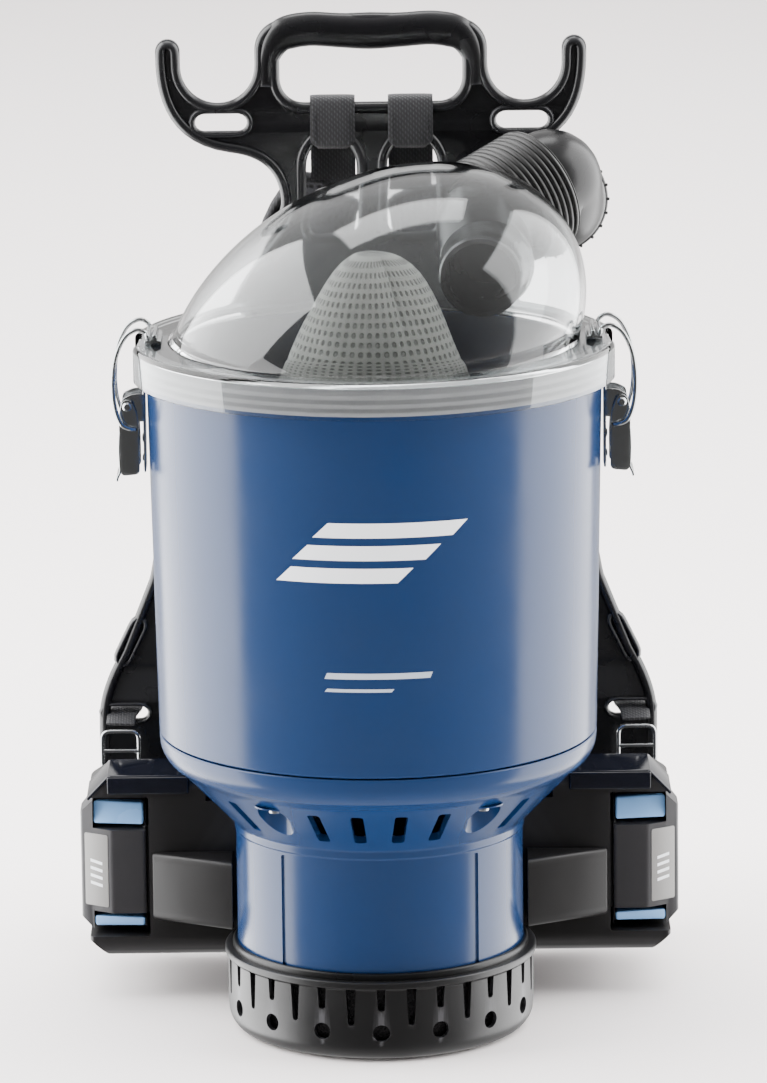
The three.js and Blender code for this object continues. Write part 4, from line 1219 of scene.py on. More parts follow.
@dataclass
class BackFrame:
    """The black moulded frame: handle, two hooks, strap pockets and wings, a web between rolled edges."""

    front: float = 140.0
    back: float = 149.0

    def build(self) -> None:
        """Makes the web, the rolled edges, the grip and the tank's saddles."""
        loops = [self.outline(), *self.holes()]
        web = plate(loops, self.front + 2.6, self.back - 2.0, 0.6, Facing.FRONT, 2)
        radii = [3.3, 3.5, 3.4, 3.4, 2.2, 2.2, 1.8, 1.8, 1.6, 1.6, 3.2, 3.2, 3.2]
        edges = [self.roll(loop, r, k > 0) for k, (loop, r) in enumerate(zip(loops, radii))]
        place(
            make(joined([web, *edges, self.grip(), *self.ribs()]), "back_frame_moulding", 50), "main", FRAME_BLACK,
            "black_plastic", "back_frame"
        )
        self.saddles()

    def outline(self) -> Array:
        """The right half from the top of the handle down to the foot, and its mirror image back up."""
        half = np.vstack(
            [
                bezier((0, 575), (40, 574), (52, 571)),
                arc((51, 553.5), 17.7, 84, 0),
                [(68.7, 548)],
                arc((90.7, 544), 22, 180, 360, 26),
                [(112.7, 550)],
                arc((120, 553), 7.3, 180, 0, 14),
                bezier((127.3, 551), (127.3, 528), (122, 498), (84, 492.5)),
                bezier((84, 492.5), (64, 490), (54, 480), (54, 461)),
                bezier((54, 461), (56, 448), (72, 436), (86, 408)),
                bezier((86, 408), (110, 360), (128, 280), (136, 235)),
                bezier((154, 190), (167, 168), (168, 150)),
                bezier((168, 52), (168, 30), (150, 30)),
                bezier((74, 30), (61, 30), (60, 20)),
                bezier((60, 4), (60, 0), (56, 0)),
            ]
        )
        return np.vstack([half, half[::-1] * (-1, 1)])

    def holes(self) -> list[Array]:
        """The hand hole, two strap pockets, then pairs of slots and the windows low down."""
        half = np.vstack([arc((40, 535.8), 14, -90, 0), arc((44, 548), 10, 0, 90)])
        hand = np.vstack([half, bezier((44, 558), (0, 551.5), (-44, 558)), half[::-1] * (-1, 1)])
        pocket = softened([(9, 446), (39, 446), (39, 489), (32, 500), (16, 500), (9, 489)], 5)
        window = softened([(60, 240), (104, 240), (96, 330), (68, 330)], 9)
        turn = math.radians(64)
        spin = np.array([[math.cos(turn), -math.sin(turn)], [math.sin(turn), math.cos(turn)]])
        wing = rounded_rectangle(30, 5, 2.4) @ spin + (148, 196)
        sides = [
            pocket, rounded_rectangle(32, 10.5, 5.1) + (89, 510.5), wing, rounded_rectangle(28, 8, 3.9) + (152, 152),
            window
        ]
        twins = [loop * sign for loop in sides for sign in ((1, 1), (-1, 1))]
        return [hand, *twins, softened([(-36, 240), (36, 240), (36, 322), (-36, 322)], 9)]

    def roll(self, loop: Array, radius: float, hole: bool) -> Form:
        """A rolled edge just inside the material all along a loop."""
        loop = even(tidy_loop(np.asarray(loop, float), clockwise=hole), 2.2)
        line = offset(loop, -radius)
        for _ in range(2):
            line = (np.roll(line, 1, axis=0) + 2 * line + np.roll(line, -1, axis=0)) / 4
        depth = (self.back - self.front) / 2 * (0.86 if hole and radius < 3.45 else 1.0)
        path = np.column_stack([line[:, 0], np.full(len(line), (self.front + self.back) / 2), line[:, 1]])
        section = circle(1.0, 16) * (depth, radius)
        return swept(path, section, (0, 1, 0), ring=True)

    def grip(self) -> Form:
        """The handle's round bar, thick in the middle and blended into the sides."""
        half = [(61.5, 532), (60.5, 549), (53, 561.5), (38, 565.5), (18, 564.6)]
        line = [*half, (0, 563.8), *[(-x, z) for x, z in reversed(half)]]
        path = smooth_path([(x, (self.front + self.back) / 2, z) for x, z in line], 110)
        s = np.abs(np.linspace(-1, 1, 110))
        deep = 7.4 - 2.9 * ease(0.55, 0.98, s)
        tall = 10.6 - 0.4 * ease(0, 0.3, s) - 4.6 * ease(0.5, 0.95, s)
        section = circle(1.0, 28)[None] * np.stack([deep, tall], axis=-1)[:, None]
        return swept(path, section, (0, 1, 0))

    def ribs(self) -> list[Form]:
        """Stiffening ribs on the face behind the tank."""
        spans = [
            ((-46, 344), (46, 344)), ((-50, 228), (50, 228)), ((-108, 226), (-58, 344)), ((108, 226), (58, 344)),
            ((-62, 60), (62, 60)), ((-118, 138), (-118, 220)), ((118, 138), (118, 220))
        ]
        y = self.front + 2.0
        return [
            swept(np.array([(a[0], y, a[1]), (b[0], y, b[1])], float), rounded_rectangle(3.0, 3.6, 1.2), (0, 1, 0))
            for a, b in spans
        ]

    def saddles(self) -> None:
        """Two cradles that the tank rests in, hollowed to its curve."""
        for name, middle, radius in (("lower", 212, 128.4), ("upper", 352, 131.2)):
            piece = make(block((-48, 107.5, middle - 16), (48, 142.5, middle + 16), 3), f"tank_saddle_{name}_pad")
            carve(
                piece, revolved([(0, middle - 40), (radius, middle - 40), (radius, middle + 40), (0, middle + 40)], 160)
            )
            place(piece, "main", BLACK_ABS, "black_plastic", f"tank_saddle_{name}")


# ---------------------------------------------------------------- battery cradle and packs


@dataclass
class BatteryCradle:
    """The dark housing behind the neck: bays for the packs, glossy covers, and the rocker switch."""

    reach: float = 172.0

    def build(self) -> None:
        """Makes the housing, its covers and the switch."""
        self.housing()
        self.covers()
        self.switch()

    def panel(self) -> Form:
        """The raised panel on the right of the front: a hump carried in X and drawn forward towards the neck."""
        hump = softened([(60, 46), (46, 50), (44.5, 54), (44.5, 87), (46, 90.5), (60, 91.5)], 2.4)
        form = plate([hump], 86.5, 134.6, 1.0, Facing.SIDE, 3)

        def draw(p: Array) -> Array:
            """Moves the front face towards -Y, 0.54 for each millimetre nearer to the neck."""
            p[:, 1] -= 0.54 * (134.6 - p[:, 0]) * ease(58, 46, p[:, 1])
            return p

        return form.mapped(draw)

    def housing(self) -> None:
        """The housing's section carried in X, with the neck's clearance and the bays cut out of it."""
        section = softened([(53, 26, 8), (139.4, 26), (139.4, 108), (88, 136), (49, 136), (46, 131), (46, 34, 6)], 3)
        piece = make(plate([section], -self.reach, self.reach, 3.0, Facing.SIDE) , "battery_cradle_housing")
        neck = revolved(
            [(0, 10), (94.3, 10), (94.3, 50), (87.8, 50.5), (87.8, 121.7), (112.3, 121.7), (112.3, 200), (0, 200)], 160
        )
        halves = joined(
            [
                block((136.2, 20, 39.5), (200, 87.0, 124.4), 1.5),
                block((95.4, 48.4, 39.5), (150, 87.0, 124.4), 1.0),
                block((83.9, 55, 60), (100, 80, 98), 1.0),
                block((84, 90.5, 32), (166, 160, 100), 2.0),
                block((110.2, 96, 90), (133.8, 116.2, 140), 1.0),
                *self.corners(),
            ]
        )
        carve(piece, neck, 32)
        carve(piece, halves, 32)
        carve(piece, halves.mirrored(), 32)
        carve(piece, block((-60, 97, 32), (60, 160, 104), 2.0), 32)
        place(piece, "main", CRADLE_GREY, "black_plastic", "battery_cradle")
        for side, form in (("right", self.panel()), ("left", self.panel().mirrored())):
            place(make(form, f"cradle_front_panel_{side}"), "main", CRADLE_GREY, "black_plastic")

    def corners(self) -> list[Form]:
        """What is cut off the outer corners, above and below the pack."""
        above = np.array([(159, 137.2), (173, 122.6), (190, 122.6), (190, 150), (159, 150)])
        below = softened([(156, 20), (160, 25.2, 4), (173, 38.6, 4), (190, 40), (190, 20)], 1)
        return [plate([line], 20, 160, 0.1, Facing.FRONT, 1) for line in (above, below)]

    def covers(self) -> None:
        """Glossy covers on top of each bay, with a lip down the front."""
        x = 160.5
        line = np.vstack(
            [
                arc((0, 0), 113.6, 50, 25.4, 14),
                softened([(104, 45.6), (x, 45.6, 3), (x, 87.5, 3), (74, 87.5)], 1.0, ring=False)
            ]
        )
        top = plate([line], 135.6, 137.6, 0.9, Facing.TOP, 3)
        lip = block((112.0, 44.6, 126.4), (x, 47.0, 136.8), 1.2)
        slope = block((-0.6, 45.6, -1.0), (18.6, 87.0, 1.0), 0.9).mapped(
            lambda p: p @ np.array([(0.69, 0, -0.72), (0, 1, 0), (0.72, 0, 0.69)])
        )
        end = slope.moved(159.4, 0, 136.6)
        for side, form in (("right", top + lip + end), ("left", (top + lip + end).mirrored())):
            place(make(form, f"cradle_gloss_cover_{side}"), "main", GLOSS_BLACK, "black_plastic")

    def switch(self) -> None:
        """A rocker with a dished face."""
        profile = softened([(101.6, 120.2), (103, 129.8), (108, 126.6), (112.8, 125), (114.4, 113), (108, 111)], 1.6, 6)
        form = plate([profile], 111.6, 132.4, 1.0, Facing.SIDE)
        place(make(form, "power_switch_rocker"), "switch", BLACK_ABS, "black_plastic", "power_switch")
        dot = plate([rounded_rectangle(9, 1.6, 0.8)], 0, 0.35, 0.1, Facing.TOP, 2)
        mark = dot.aimed((122, 105.6, 128.35), (0, 0.54, 0.84), (1, 0, 0))
        place(make(mark, "power_switch_mark"), "switch", PRINT_WHITE, "black_plastic")


@dataclass
class BatteryPacks:
    """A slide-in pack on each side: facets, two pale release buttons and a plain label."""

    low: float = 41.5
    high: float = 122.0
    facet: tuple[tuple[float, float], tuple[float, float]] = ((158.0, 46.0), (177.0, 58.0))

    def build(self) -> None:
        """Makes the packs, their labels and their buttons."""
        self.pack()
        self.label()
        self.buttons()

    def pack(self) -> None:
        """The outer block, cut on slopes above, below and round the buttons, and the body in the bay."""
        plan = softened([(137.6, 49), (139, 46), (158, 46), (177, 58), (177, 78), (171, 84), (137.6, 84)], 1.6)
        outer = make(plate([plan], self.low, self.high, 2.2, Facing.TOP), "battery_pack_right_case")
        slopes = joined(
            [
                block((138.4, 20, 104.3), (169.6, 63.6, 150), 0.3),
                block((138.4, 20, 20), (169.6, 63.6, 53.7), 0.3),
            ]
        )
        corners = joined(
            [
                plate(
                    [np.array([(168, 122.5), (179, 111), (190, 111), (190, 150), (168, 150)])], 20, 110, 0.1,
                    Facing.FRONT, 1
                ),
                plate(
                    [np.array([(168, 41), (179, 51), (190, 51), (190, 20), (168, 20)])], 20, 110, 0.1, Facing.FRONT, 1
                ),
            ]
        )
        carve(outer, slopes, 25)
        carve(outer, corners, 25)
        bevel = outer.modifiers.new("bevel", "BEVEL")
        bevel.width, bevel.segments, bevel.limit_method, bevel.angle_limit = 0.9 * MM, 2, "ANGLE", math.radians(25)
        settle(outer, 30)
        self.both(outer, "battery_pack_{}_case", CRADLE_GREY, "battery_pack_{}")
        pair(
            block((96.2, 52.0, 51.6), (140, 81.0, 106.4), 2), "battery_pack_{}_body", "pack_{}", BLACK_ABS,
            "black_plastic"
        )

    def both(self, piece: bpy.types.Object, name: str, finish: Finish, node: str) -> None:
        """Places a right-hand piece and a mirrored copy of its mesh."""
        twin = mirror(piece, name.format("left"))
        place(piece, "pack_right", finish, "black_plastic", node.format("right"))
        place(twin, "pack_left", finish, "black_plastic", node.format("left"))

    def label(self) -> None:
        """A grey label on the slanting facet, with three plain bars."""
        a, b = np.array(self.facet[0]), np.array(self.facet[1])
        along, middle = unit(b - a), (a + b) / 2
        normal = np.array([along[1], -along[0]])
        origin = (*(middle + normal * 0.02), 79.0)
        sticker = plate([rounded_rectangle(16.5, 44, 1.2)], 0, 0.35, 0.1, Facing.TOP, 2)
        pair(sticker.aimed(origin, (*normal, 0), (*along, 0)), "pack_label_{}", "pack_{}", LABEL_GREY, "grey_plastic")
        bar = plate([np.array([(-4.2, -1.2), (4.2, 0.2), (4.2, 2.0), (-4.2, 0.6)])], 0.3, 0.5, 0.04, Facing.TOP, 1)
        bars = joined([bar.moved(0, y) for y in (-9, -4.5, 0, 4.5)])
        pair(
            bars.aimed(origin, (*normal, 0), (*along, 0)), "pack_label_bars_{}", "pack_{}", PRINT_WHITE, "grey_plastic"
        )

    def behind_facet(self, p: Array) -> Array:
        """Pushes points back to just behind the label's facet."""
        (x0, y0), (x1, y1) = self.facet
        slope = np.maximum(p[:, 0] - x0, 0) * (y1 - y0) / (x1 - x0)
        p[:, 1] = np.maximum(p[:, 1], y0 + slope + 1.0 + 0.45 * np.maximum(p[:, 2] - 107.4, 0))
        return p

    def buttons(self) -> None:
        """Pale-blue buttons in the upper and lower pockets, bevelled to the slopes."""
        upper = softened([(47.7, 107.4), (62.8, 107.4), (62.8, 119.4), (53.6, 119.4)], 1.6)
        lower = softened([(50.6, 44.8), (62.8, 44.8), (62.8, 50.6), (47.8, 50.6)], 1.6)
        for word, profile in (("top", upper), ("bottom", lower)):
            form = plate([profile], 139.4, 169.0, 1.6, Facing.SIDE).mapped(self.behind_facet)
            name = f"release_button_{word}_{{}}"
            pair(form, name + "_cap", f"button_{word}_{{}}", BUTTON_BLUE, "button_blue", name)


def mirror(piece: bpy.types.Object, name: str) -> bpy.types.Object:
    """A copy of a piece with its mesh mirrored in X."""
    mesh = piece.data.copy()
    mesh.name = name
    points = np.empty(len(mesh.vertices) * 3)
    mesh.vertices.foreach_get("co", points)
    points[::3] *= -1
    mesh.vertices.foreach_set("co", points)
    mesh.flip_normals()
    mesh.update()
    twin = bpy.data.objects.new(name, mesh)
    bpy.context.scene.collection.objects.link(twin)
    return twin


# ---------------------------------------------------------------- harness


@dataclass
class Pad:
    """A foam pad in a knit cover, swept along a path and blown up as cloth.

    The half width shrinks as an ellipse over the last part of each end.
    """

    name: str
    path: tuple[tuple[float, float, float], ...]
    widths: tuple[float, ...]
    thick: float
    across: tuple[float, float, float]
    fill: float = 0.6
    cap: float = 4.0
    seams: tuple[float, ...] = ()
    steps: int = 90

    def line(self) -> tuple[Array, Array, Array, Array]:
        """Middle line, half width, side and face directions at each step."""
        path = smooth_path(self.path, self.steps)
        s = np.linspace(0, len(self.path) - 1, self.steps)
        half = np.interp(s, range(len(self.widths)), self.widths) / 2 - 2.0
        run = np.concatenate([[0], np.cumsum(np.linalg.norm(np.diff(path, axis=0), axis=1))])
        end = np.minimum(run, run[-1] - run) / (0.45 * half)
        half = half * np.sqrt(np.clip(1 - (1 - np.clip(end, 0.02, 1)) ** 2, 0.02, 1))
        way = unit(np.gradient(path, axis=0))
        side = unit(np.asarray(self.across, float) - (way @ np.asarray(self.across, float))[:, None] * way)
        return path, half, side, np.cross(way, side)

    def form(self) -> Form:
        """A crowned section: half * sign(cos) |cos|^0.7 across and thick * sign(sin) |sin|^0.8 through."""
        path, half, side, face = self.line()
        a = np.linspace(0, 2 * np.pi, 40, endpoint=False)
        u = np.sign(np.cos(a)) * np.abs(np.cos(a)) ** 0.7
        v = np.sign(np.sin(a)) * np.abs(np.sin(a)) ** 0.8
        deep = (self.thick / 2 - 2.0) * np.sqrt(np.clip(half / half.max(), 0.2, 1))
        points = path[:, None] + (half[:, None] * u)[..., None] * side[:, None]
        points = points + (deep[:, None] * v)[..., None] * face[:, None]
        return sheet(points, capped=True)

    def build(self) -> bpy.types.Object:
        """Makes the pad, blows it up and sews its seams."""
        piece = make(self.form(), self.name, 180)
        remesh = piece.modifiers.new("remesh", "REMESH")
        remesh.mode, remesh.voxel_size, remesh.use_smooth_shade = "VOXEL", 5 * MM, True
        settle(piece, 180)
        self.blow(piece)
        finer = piece.modifiers.new("finer", "SUBSURF")
        finer.levels = finer.render_levels = 1
        settle(piece, 180)
        self.sew(piece)
        return piece

    def blow(self, piece: bpy.types.Object) -> None:
        """Twenty frames of cloth under pressure, with each point's move held to the cap."""
        rest = points_of(piece)
        cloth = piece.modifiers.new("cloth", "CLOTH")
        cloth.settings.use_pressure = True
        cloth.settings.uniform_pressure_force = 4.0
        cloth.settings.quality = 5
        cloth.settings.effector_weights.gravity = 0.0
        cloth.point_cache.frame_start, cloth.point_cache.frame_end = 1, 20
        for frame in range(1, 21):
            bpy.context.scene.frame_set(frame)
        settle(piece, 180)
        bpy.context.scene.frame_set(1)
        step = points_of(piece) - rest
        length = np.linalg.norm(step, axis=1, keepdims=True)
        step *= np.minimum(1, self.cap / np.maximum(length, 1e-6))
        put_points(piece, rest + step)

    def sew(self, piece: bpy.types.Object) -> None:
        """Draws the skin in along a row of stitches inside each edge and across at each seam."""
        path, half, side, face = self.line()
        points = points_of(piece)
        near = np.argmin(((points[:, None] - path[None]) ** 2).sum(axis=2), axis=1)
        gap = points - path[near]
        u = (gap * side[near]).sum(axis=1) / np.maximum(half[near], 4)
        v = (gap * face[near]).sum(axis=1)
        inset = 1 - 7.0 / np.maximum(half[near], 9)
        pull = 0.42 * np.exp(-(((np.abs(u) - inset) * half[near] / 1.7) ** 2))
        s = near / (self.steps - 1)
        run = np.linalg.norm(np.diff(path, axis=0), axis=1).sum()
        for seam in self.seams:
            pull = np.maximum(pull, 0.5 * np.exp(-(((s - seam) * run / 2.4) ** 2)))
        put_points(piece, points - (pull * v)[:, None] * face[near])

    def edge(self, piece: bpy.types.Object, sign: int) -> Array:
        """How far the finished cover reaches to one side at each step: the widest point near it, evened out."""
        path, half, side, _ = self.line()
        points = points_of(piece)
        near = np.argmin(((points[:, None] - path[None]) ** 2).sum(axis=2), axis=1)
        reach = 0.5 * half
        np.maximum.at(reach, near, sign * ((points - path[near]) * side[near]).sum(axis=1))
        margin, window = 3, 7  # steps on each side, and in all
        widest = np.lib.stride_tricks.sliding_window_view(np.pad(reach, margin, mode="edge"), window).max(axis=1)
        evened = np.convolve(np.pad(widest, margin, mode="edge"), np.ones(window) / window, mode="valid")
        return np.minimum(evened - 1.2, half + 1.6)

    def binding(self, piece: bpy.types.Object) -> Form:
        """A bound edge all round the finished cover."""
        path, _, side, face = self.line()
        right, left = self.edge(piece, 1)[:, None], self.edge(piece, -1)[:, None]
        loop = np.vstack([path + side * right, (path - side * left)[::-1]])
        normal = np.vstack([face, face[::-1]])
        return swept(loop, circle(1.0, 12) * (3.6, 2.6), normal, ring=True)

    def stitches(self) -> Form:
        """Short threads along both edges, on the outer and the inner face."""
        path, half, side, face = self.line()
        way = unit(np.gradient(path, axis=0))
        run = np.concatenate([[0], np.cumsum(np.linalg.norm(np.diff(path, axis=0), axis=1))])
        at = np.arange(14, run[-1] - 14, 6.5)
        deep = 0.56 * (self.thick / 2)
        threads = []
        for sign in (1, -1):
            for flip in (1, -1):
                for k in np.searchsorted(run, at):
                    middle = path[k] + side[k] * sign * (half[k] - 7.0) + face[k] * flip * deep
                    ends = np.array([middle - way[k] * 2.0, middle + face[k] * flip * 0.5, middle + way[k] * 2.0])
                    threads.append(swept(ends, circle(0.45, 6), side[k]))
        return joined(threads)


def points_of(piece: bpy.types.Object) -> Array:
    """A mesh's points, in millimetres."""
    flat = np.empty(len(piece.data.vertices) * 3)
    piece.data.vertices.foreach_get("co", flat)
    return flat.reshape(-1, 3) / MM


def put_points(piece: bpy.types.Object, points: Array) -> None:
    """Moves a mesh's points, given in millimetres."""
    piece.data.vertices.foreach_set("co", (points * MM).ravel())
    piece.data.update()


@dataclass
class Harness:
    """Pads, webbing and buckle that carry the machine on the wearer's back."""

    shoulder: Pad = field(
        default_factory=lambda: Pad(
            "shoulder_pad_right",
            ((26, 161, 472), (37, 179, 446), (50, 195, 400), (66, 201, 340), (86, 197, 285), (110, 181, 236)),
            (40, 60, 68, 66, 58, 40), 15, (1, -0.1, 0.25), 0.6, 4.0, (0.3, 0.62),
        )
    )
    hip: Pad = field(
        default_factory=lambda: Pad(
            "hip_pad_right_cover",
            ((20, 161, 62), (80, 162, 62), (130, 171, 60), (160, 197, 57), (172, 237, 54)),
            (66, 74, 78, 72, 44), 14, (0, 0, 1), 0.6, 4.0, (0.34, 0.66),
        )
    )
    back: Pad = field(
        default_factory=lambda: Pad(
            "back_pad_cover", ((0, 162, 168), (0, 162, 250), (0, 162, 330), (0, 162, 408)),
            (140, 136, 124, 104), 17, (1, 0, 0), 0.65, 4.0, (0.27, 0.52, 0.77), 110,
        )
    )

    def build(self) -> None:
        """Makes every soft part of the harness."""
        self.loops()
        self.pads()
        self.webbing()
        self.buckle()

    def loops(self) -> None:
        """Webbing looped over the bottom bar of the hand hole."""
        line = [
            (151.8, 474), (151.8, 500), (151.6, 516), (150.0, 523.6), (144.5, 525.6), (138.8, 523.4), (137.2, 515),
            (137.2, 505), (138.4, 498), (144.6, 494.6)
        ]
        path = smooth_path([(23, y, z) for y, z in line], 70)
        width = 26.5 - 8 * ease(0.84, 0.97, np.linspace(0, 1, 70))
        section = (rounded_rectangle(1, 1, 0.3) * (1, 1.6))[None] * np.stack([width, np.ones(70)], axis=-1)[:, None]
        form = swept(path, section, (1, 0, 0))
        pair(form, "strap_loop_{}_webbing", "main", WEBBING, "webbing", "strap_loop_{}", 60)
        threads = [
            swept(
                np.array([(x, 136.25, z), (x, 135.9, z + 1.2), (x, 136.25, z + 2.4)], float), circle(0.3, 6), (1, 0, 0)
            )
            for z in np.arange(500, 514, 3.4) for x in (12.6, 33.4)
        ]
        pair(joined(threads), "strap_loop_{}_stitches", "main", BINDING, "webbing", sharp=180)

    def pads(self) -> None:
        """Shoulder, hip and back pads, their bindings and stitches."""
        for pad, word in ((self.shoulder, "shoulder_strap_{}"), (self.hip, "hip_pad_{}")):
            right = pad.build()
            left = mirror(right, right.name.replace("right", "left"))
            for piece, side in ((right, "right"), (left, "left")):
                place(piece, "main", MESH, "padding", word.format(side))
            pair(pad.binding(right), word + "_binding", "main", BINDING, "webbing", sharp=180)
            pair(pad.stitches(), word + "_stitches", "main", BINDING, "webbing", sharp=180)
        piece = self.back.build()
        place(piece, "main", MESH, "padding", "back_pad")
        place(make(self.back.binding(piece), "back_pad_binding", 180), "main", BINDING, "webbing")
        place(make(self.back.stitches(), "back_pad_stitches", 180), "main", BINDING, "webbing")

    def webbing(self) -> None:
        """Lower straps down to the wire loops, the loops, and the waist belt."""
        line = [
            (117, 175, 222), (136, 162, 190), (149, 155, 166), (151, 151, 155.5), (153.5, 144, 152),
            (154.5, 138, 150.5), (155, 131.4, 147.5)
        ]
        path = smooth_path(line, 90)
        width = np.linspace(20, 17, 90)
        flat = rounded_rectangle(1, 1, 0.3) * (1, 1.8)
        section = flat[None] * np.stack([width, np.ones(90)], axis=-1)[:, None]
        form = swept(path, section, (1, 0, 0))
        pair(form, "lower_webbing_{}_strap", "main", WEBBING, "webbing", "lower_webbing_{}", 60)
        frame = [(144, 120), (166, 120), (166, 144), (144, 144)]
        corners = softened(frame, 5, 7)
        ring = swept(
            np.column_stack([corners[:, 0], np.full(len(corners), 128.0), corners[:, 1]]), circle(1.3, 14), (0, 1, 0),
            ring=True
        )
        rung = rod([(144, 128, 132), (155, 128, 132), (166, 128, 132)], 1.3, (0, 1, 0), 8, 14)
        pair(ring + rung, "ladder_loop_{}_wire", "main", STEEL, "steel", "ladder_loop_{}", 60)
        belt = smooth_path([(171.5, 241, 54), (160, 277, 53), (120, 305, 52), (70, 317, 52), (25.5, 319, 52)], 90)
        form = swept(belt, rounded_rectangle(38, 1.8, 0.8), (0, 0, 1))
        pair(form, "belt_webbing_{}_strap", "main", WEBBING, "webbing", "belt_webbing_{}", 60)

    def buckle(self) -> None:
        """A side-release buckle: a socket with windows at its sides, and a plug with three prongs."""
        line = softened([(-25, 34), (-17, 30.4), (0, 30.4), (3, 34), (3, 70), (0, 73.6), (-17, 73.6), (-25, 70)], 4)
        hollow = [
            softened([(-15, 35.5), (-2, 35.5), (-2, 41), (-15, 41)], 1.6),
            softened([(-15, 63), (-2, 63), (-2, 68.5), (-15, 68.5)], 1.6)
        ]
        bar = softened([(-22.5, 38), (-19.5, 38), (-19.5, 66), (-22.5, 66)], 1)
        socket = plate([line, *hollow, bar], 313.7, 324.3, 2.4, Facing.FRONT)
        place(make(socket, "belt_buckle_socket_body"), "main", BLACK_ABS, "black_plastic", "belt_buckle_socket")
        line = softened([(3.5, 33), (9, 32.2), (25, 35), (25, 69), (9, 71.8), (3.5, 71)], 3)
        bar = softened([(18, 38), (21, 38), (21, 66), (18, 66)], 1)
        plug = plate([line, bar], 314.6, 323.4, 2.2, Facing.FRONT)
        place(make(plug, "belt_buckle_plug_body"), "main", BLACK_ABS, "black_plastic", "belt_buckle_plug")


# ---------------------------------------------------------------- inside


@dataclass
class Internals:
    """The CAD's own pieces that stay in view when the machine is opened, in better finishes."""

    finishes: tuple[tuple[str, Finish], ...] = (
        ("motor_mount", BLACK_ABS), ("motor_stator", COPPER), ("motor_rotor", STEEL), ("fan_casing", STEEL),
        ("fan_wheel", FAN_GREY), ("motor_seal", RIB_RUBBER), ("filter_ring", DUCT_BLACK), ("motor_lead", RIB_RUBBER),
        ("control_board", BOARD), ("terminal_block_left", BLACK_ABS), ("terminal_block_right", BLACK_ABS),
    )

    def build(self, frame: dict) -> None:
        """Puts each finish in its node's slot."""
        for name, finish in self.finishes:
            node = frame["nodes"][name]
            node.data.materials.clear()
            node.data.materials.append(finish.material())


# ---------------------------------------------------------------- studio


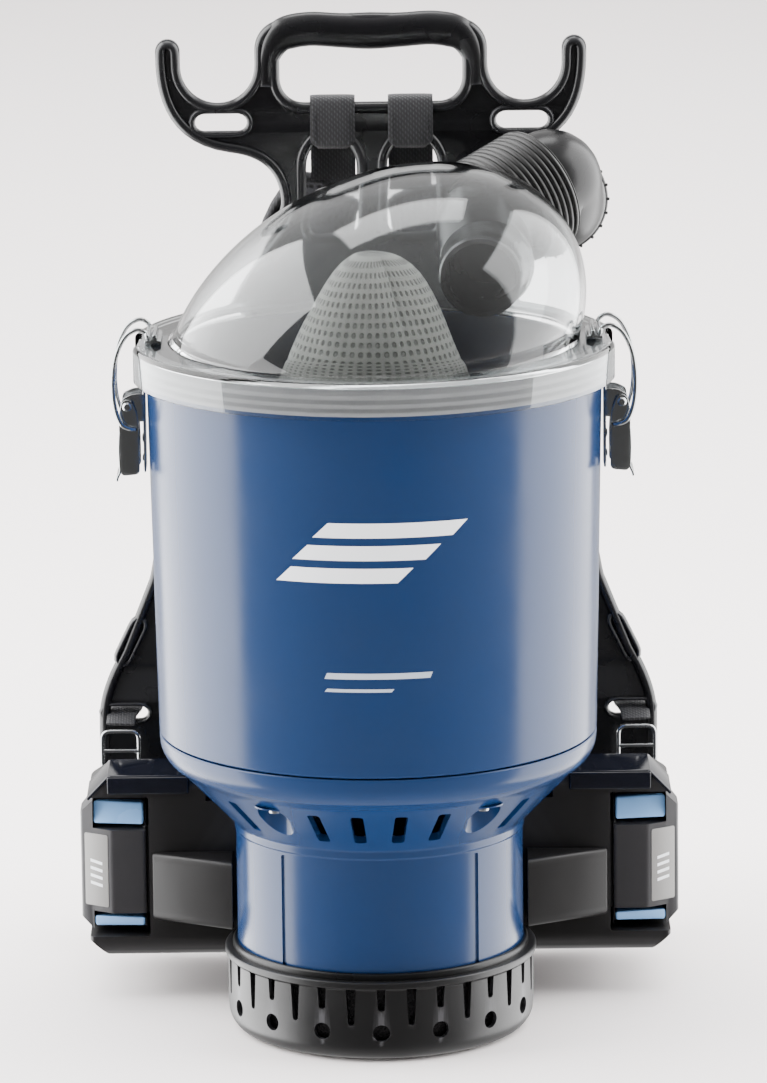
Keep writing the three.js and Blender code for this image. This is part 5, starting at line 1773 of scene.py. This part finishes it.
@dataclass
class Studio:
    """Camera, floor, sky and lights."""

    target: tuple[float, float, float] = (0.0043, 0.0, 0.2875)
    distance: float = 4.0
    elevation: float = 12.5
    lens: float = 230.03
    roll: float = 0.65

    def camera(self) -> None:
        """A long lens a little above, looking along +Y."""
        data = bpy.data.cameras.new("camera")
        data.sensor_fit, data.sensor_height, data.lens = "VERTICAL", 36.0, self.lens
        data.clip_end = 100
        made = bpy.data.objects.new("camera", data)
        bpy.context.scene.collection.objects.link(made)
        rise = math.radians(self.elevation)
        away = Vector((0, -math.cos(rise), math.sin(rise)))
        made.location = Vector(self.target) + away * self.distance
        made.rotation_mode = "QUATERNION"
        look = (-away).to_track_quat("-Z", "Y")
        made.rotation_quaternion = look @ Quaternion((0, 0, 1), math.radians(-self.roll))
        bpy.context.scene.camera = made

    def lamp(
        self, name: str, place: Array, size: tuple[float, float], power: float, target: Array, card: bool = False
    ) -> None:
        """A rectangular softbox that faces a point.

        Args:
            name: its name.
            place: where it is, in metres.
            size: its width and height, in metres.
            power: watts.
            target: the point.
            card: it is only seen in reflections, as a white card is; otherwise it only lights.
        """
        data = bpy.data.lights.new(name, "AREA")
        data.shape, data.size, data.size_y, data.energy = "RECTANGLE", *size, power
        made = bpy.data.objects.new(name, data)
        made.visible_glossy = made.visible_transmission = card
        made.visible_diffuse = not card
        made.location = place
        made.rotation_mode = "QUATERNION"
        made.rotation_quaternion = (Vector(target) - Vector(place)).to_track_quat("-Z", "Y")
        bpy.context.scene.collection.objects.link(made)

    def sky(self) -> None:
        """Bright at the sides, behind and above, and dim in front."""
        world = bpy.data.worlds.new("studio")
        world.use_nodes = True
        bpy.context.scene.world = world
        tree = world.node_tree
        back = tree.nodes["Background"]
        back.inputs["Color"].default_value = (1.0, 0.985, 0.98, 1.0)
        way = add_node(tree, "SeparateXYZ", links={0: add_node(tree, "TexCoord").outputs["Generated"]})
        range_keys = {"From Min": -0.9, "From Max": 0.0, "To Min": 0.1, "To Max": 1.15}
        level = add_node(tree, "MapRange", range_keys, {"Value": way.outputs["Y"]})
        tree.links.new(level.outputs["Result"], back.inputs["Strength"])

    def floor(self) -> None:
        """A wide pale floor."""
        corner = np.array([[(-20e3, -20e3, 0), (20e3, -20e3, 0)], [(-20e3, 20e3, 0), (20e3, 20e3, 0)]], float)
        floor = make(sheet(corner, around=False), "floor")
        floor.data.materials.append(
            Finish("studio_floor", "#f7f1f0", 0.6, extra=(("Specular IOR Level", 0.0),)).material()
        )
        if floor.data.polygons[0].normal.z < 0:
            floor.data.flip_normals()
        floor.visible_glossy = False

    def build(self) -> None:
        """Sets the stage."""
        self.camera()
        self.sky()
        self.floor()
        self.lamp("left_softbox", (-1.5, 0.15, 0.75), (1.7, 1.7), 95, (0, 0.1, 0.35))
        self.lamp("right_softbox", (1.6, 0.15, 0.75), (1.5, 1.7), 70, (0, 0.1, 0.35))
        self.lamp("top_softbox", (0.0, 1.3, 3.2), (5.0, 5.0), 560, (0, 1.2, 0))
        self.lamp("left_card", (-0.9, 0.45, 0.6), (1.5, 2.4), 85, (0, 0.45, 0.6), card=True)
        self.lamp("right_card", (0.95, 0.5, 0.6), (1.5, 2.4), 60, (0, 0.5, 0.6), card=True)
        self.lamp("top_card", (-0.1, 0.7, 1.9), (1.0, 0.5), 9, (0, 0, 0.4), card=True)


def main() -> None:
    """Builds the studio and every sub-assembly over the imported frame."""
    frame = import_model()
    Studio().build()
    for part in (
        Tank(), Foot(), FilterCone(), Lid(), Inlet(), Latches(), BackFrame(), BatteryCradle(), BatteryPacks(), Harness()
    ):
        part.build()
        log.info("%s built", type(part).__name__)
    Internals().build(frame)


if __name__ == "__main__":
    logging.basicConfig(level=logging.INFO, format="%(message)s")
    main()
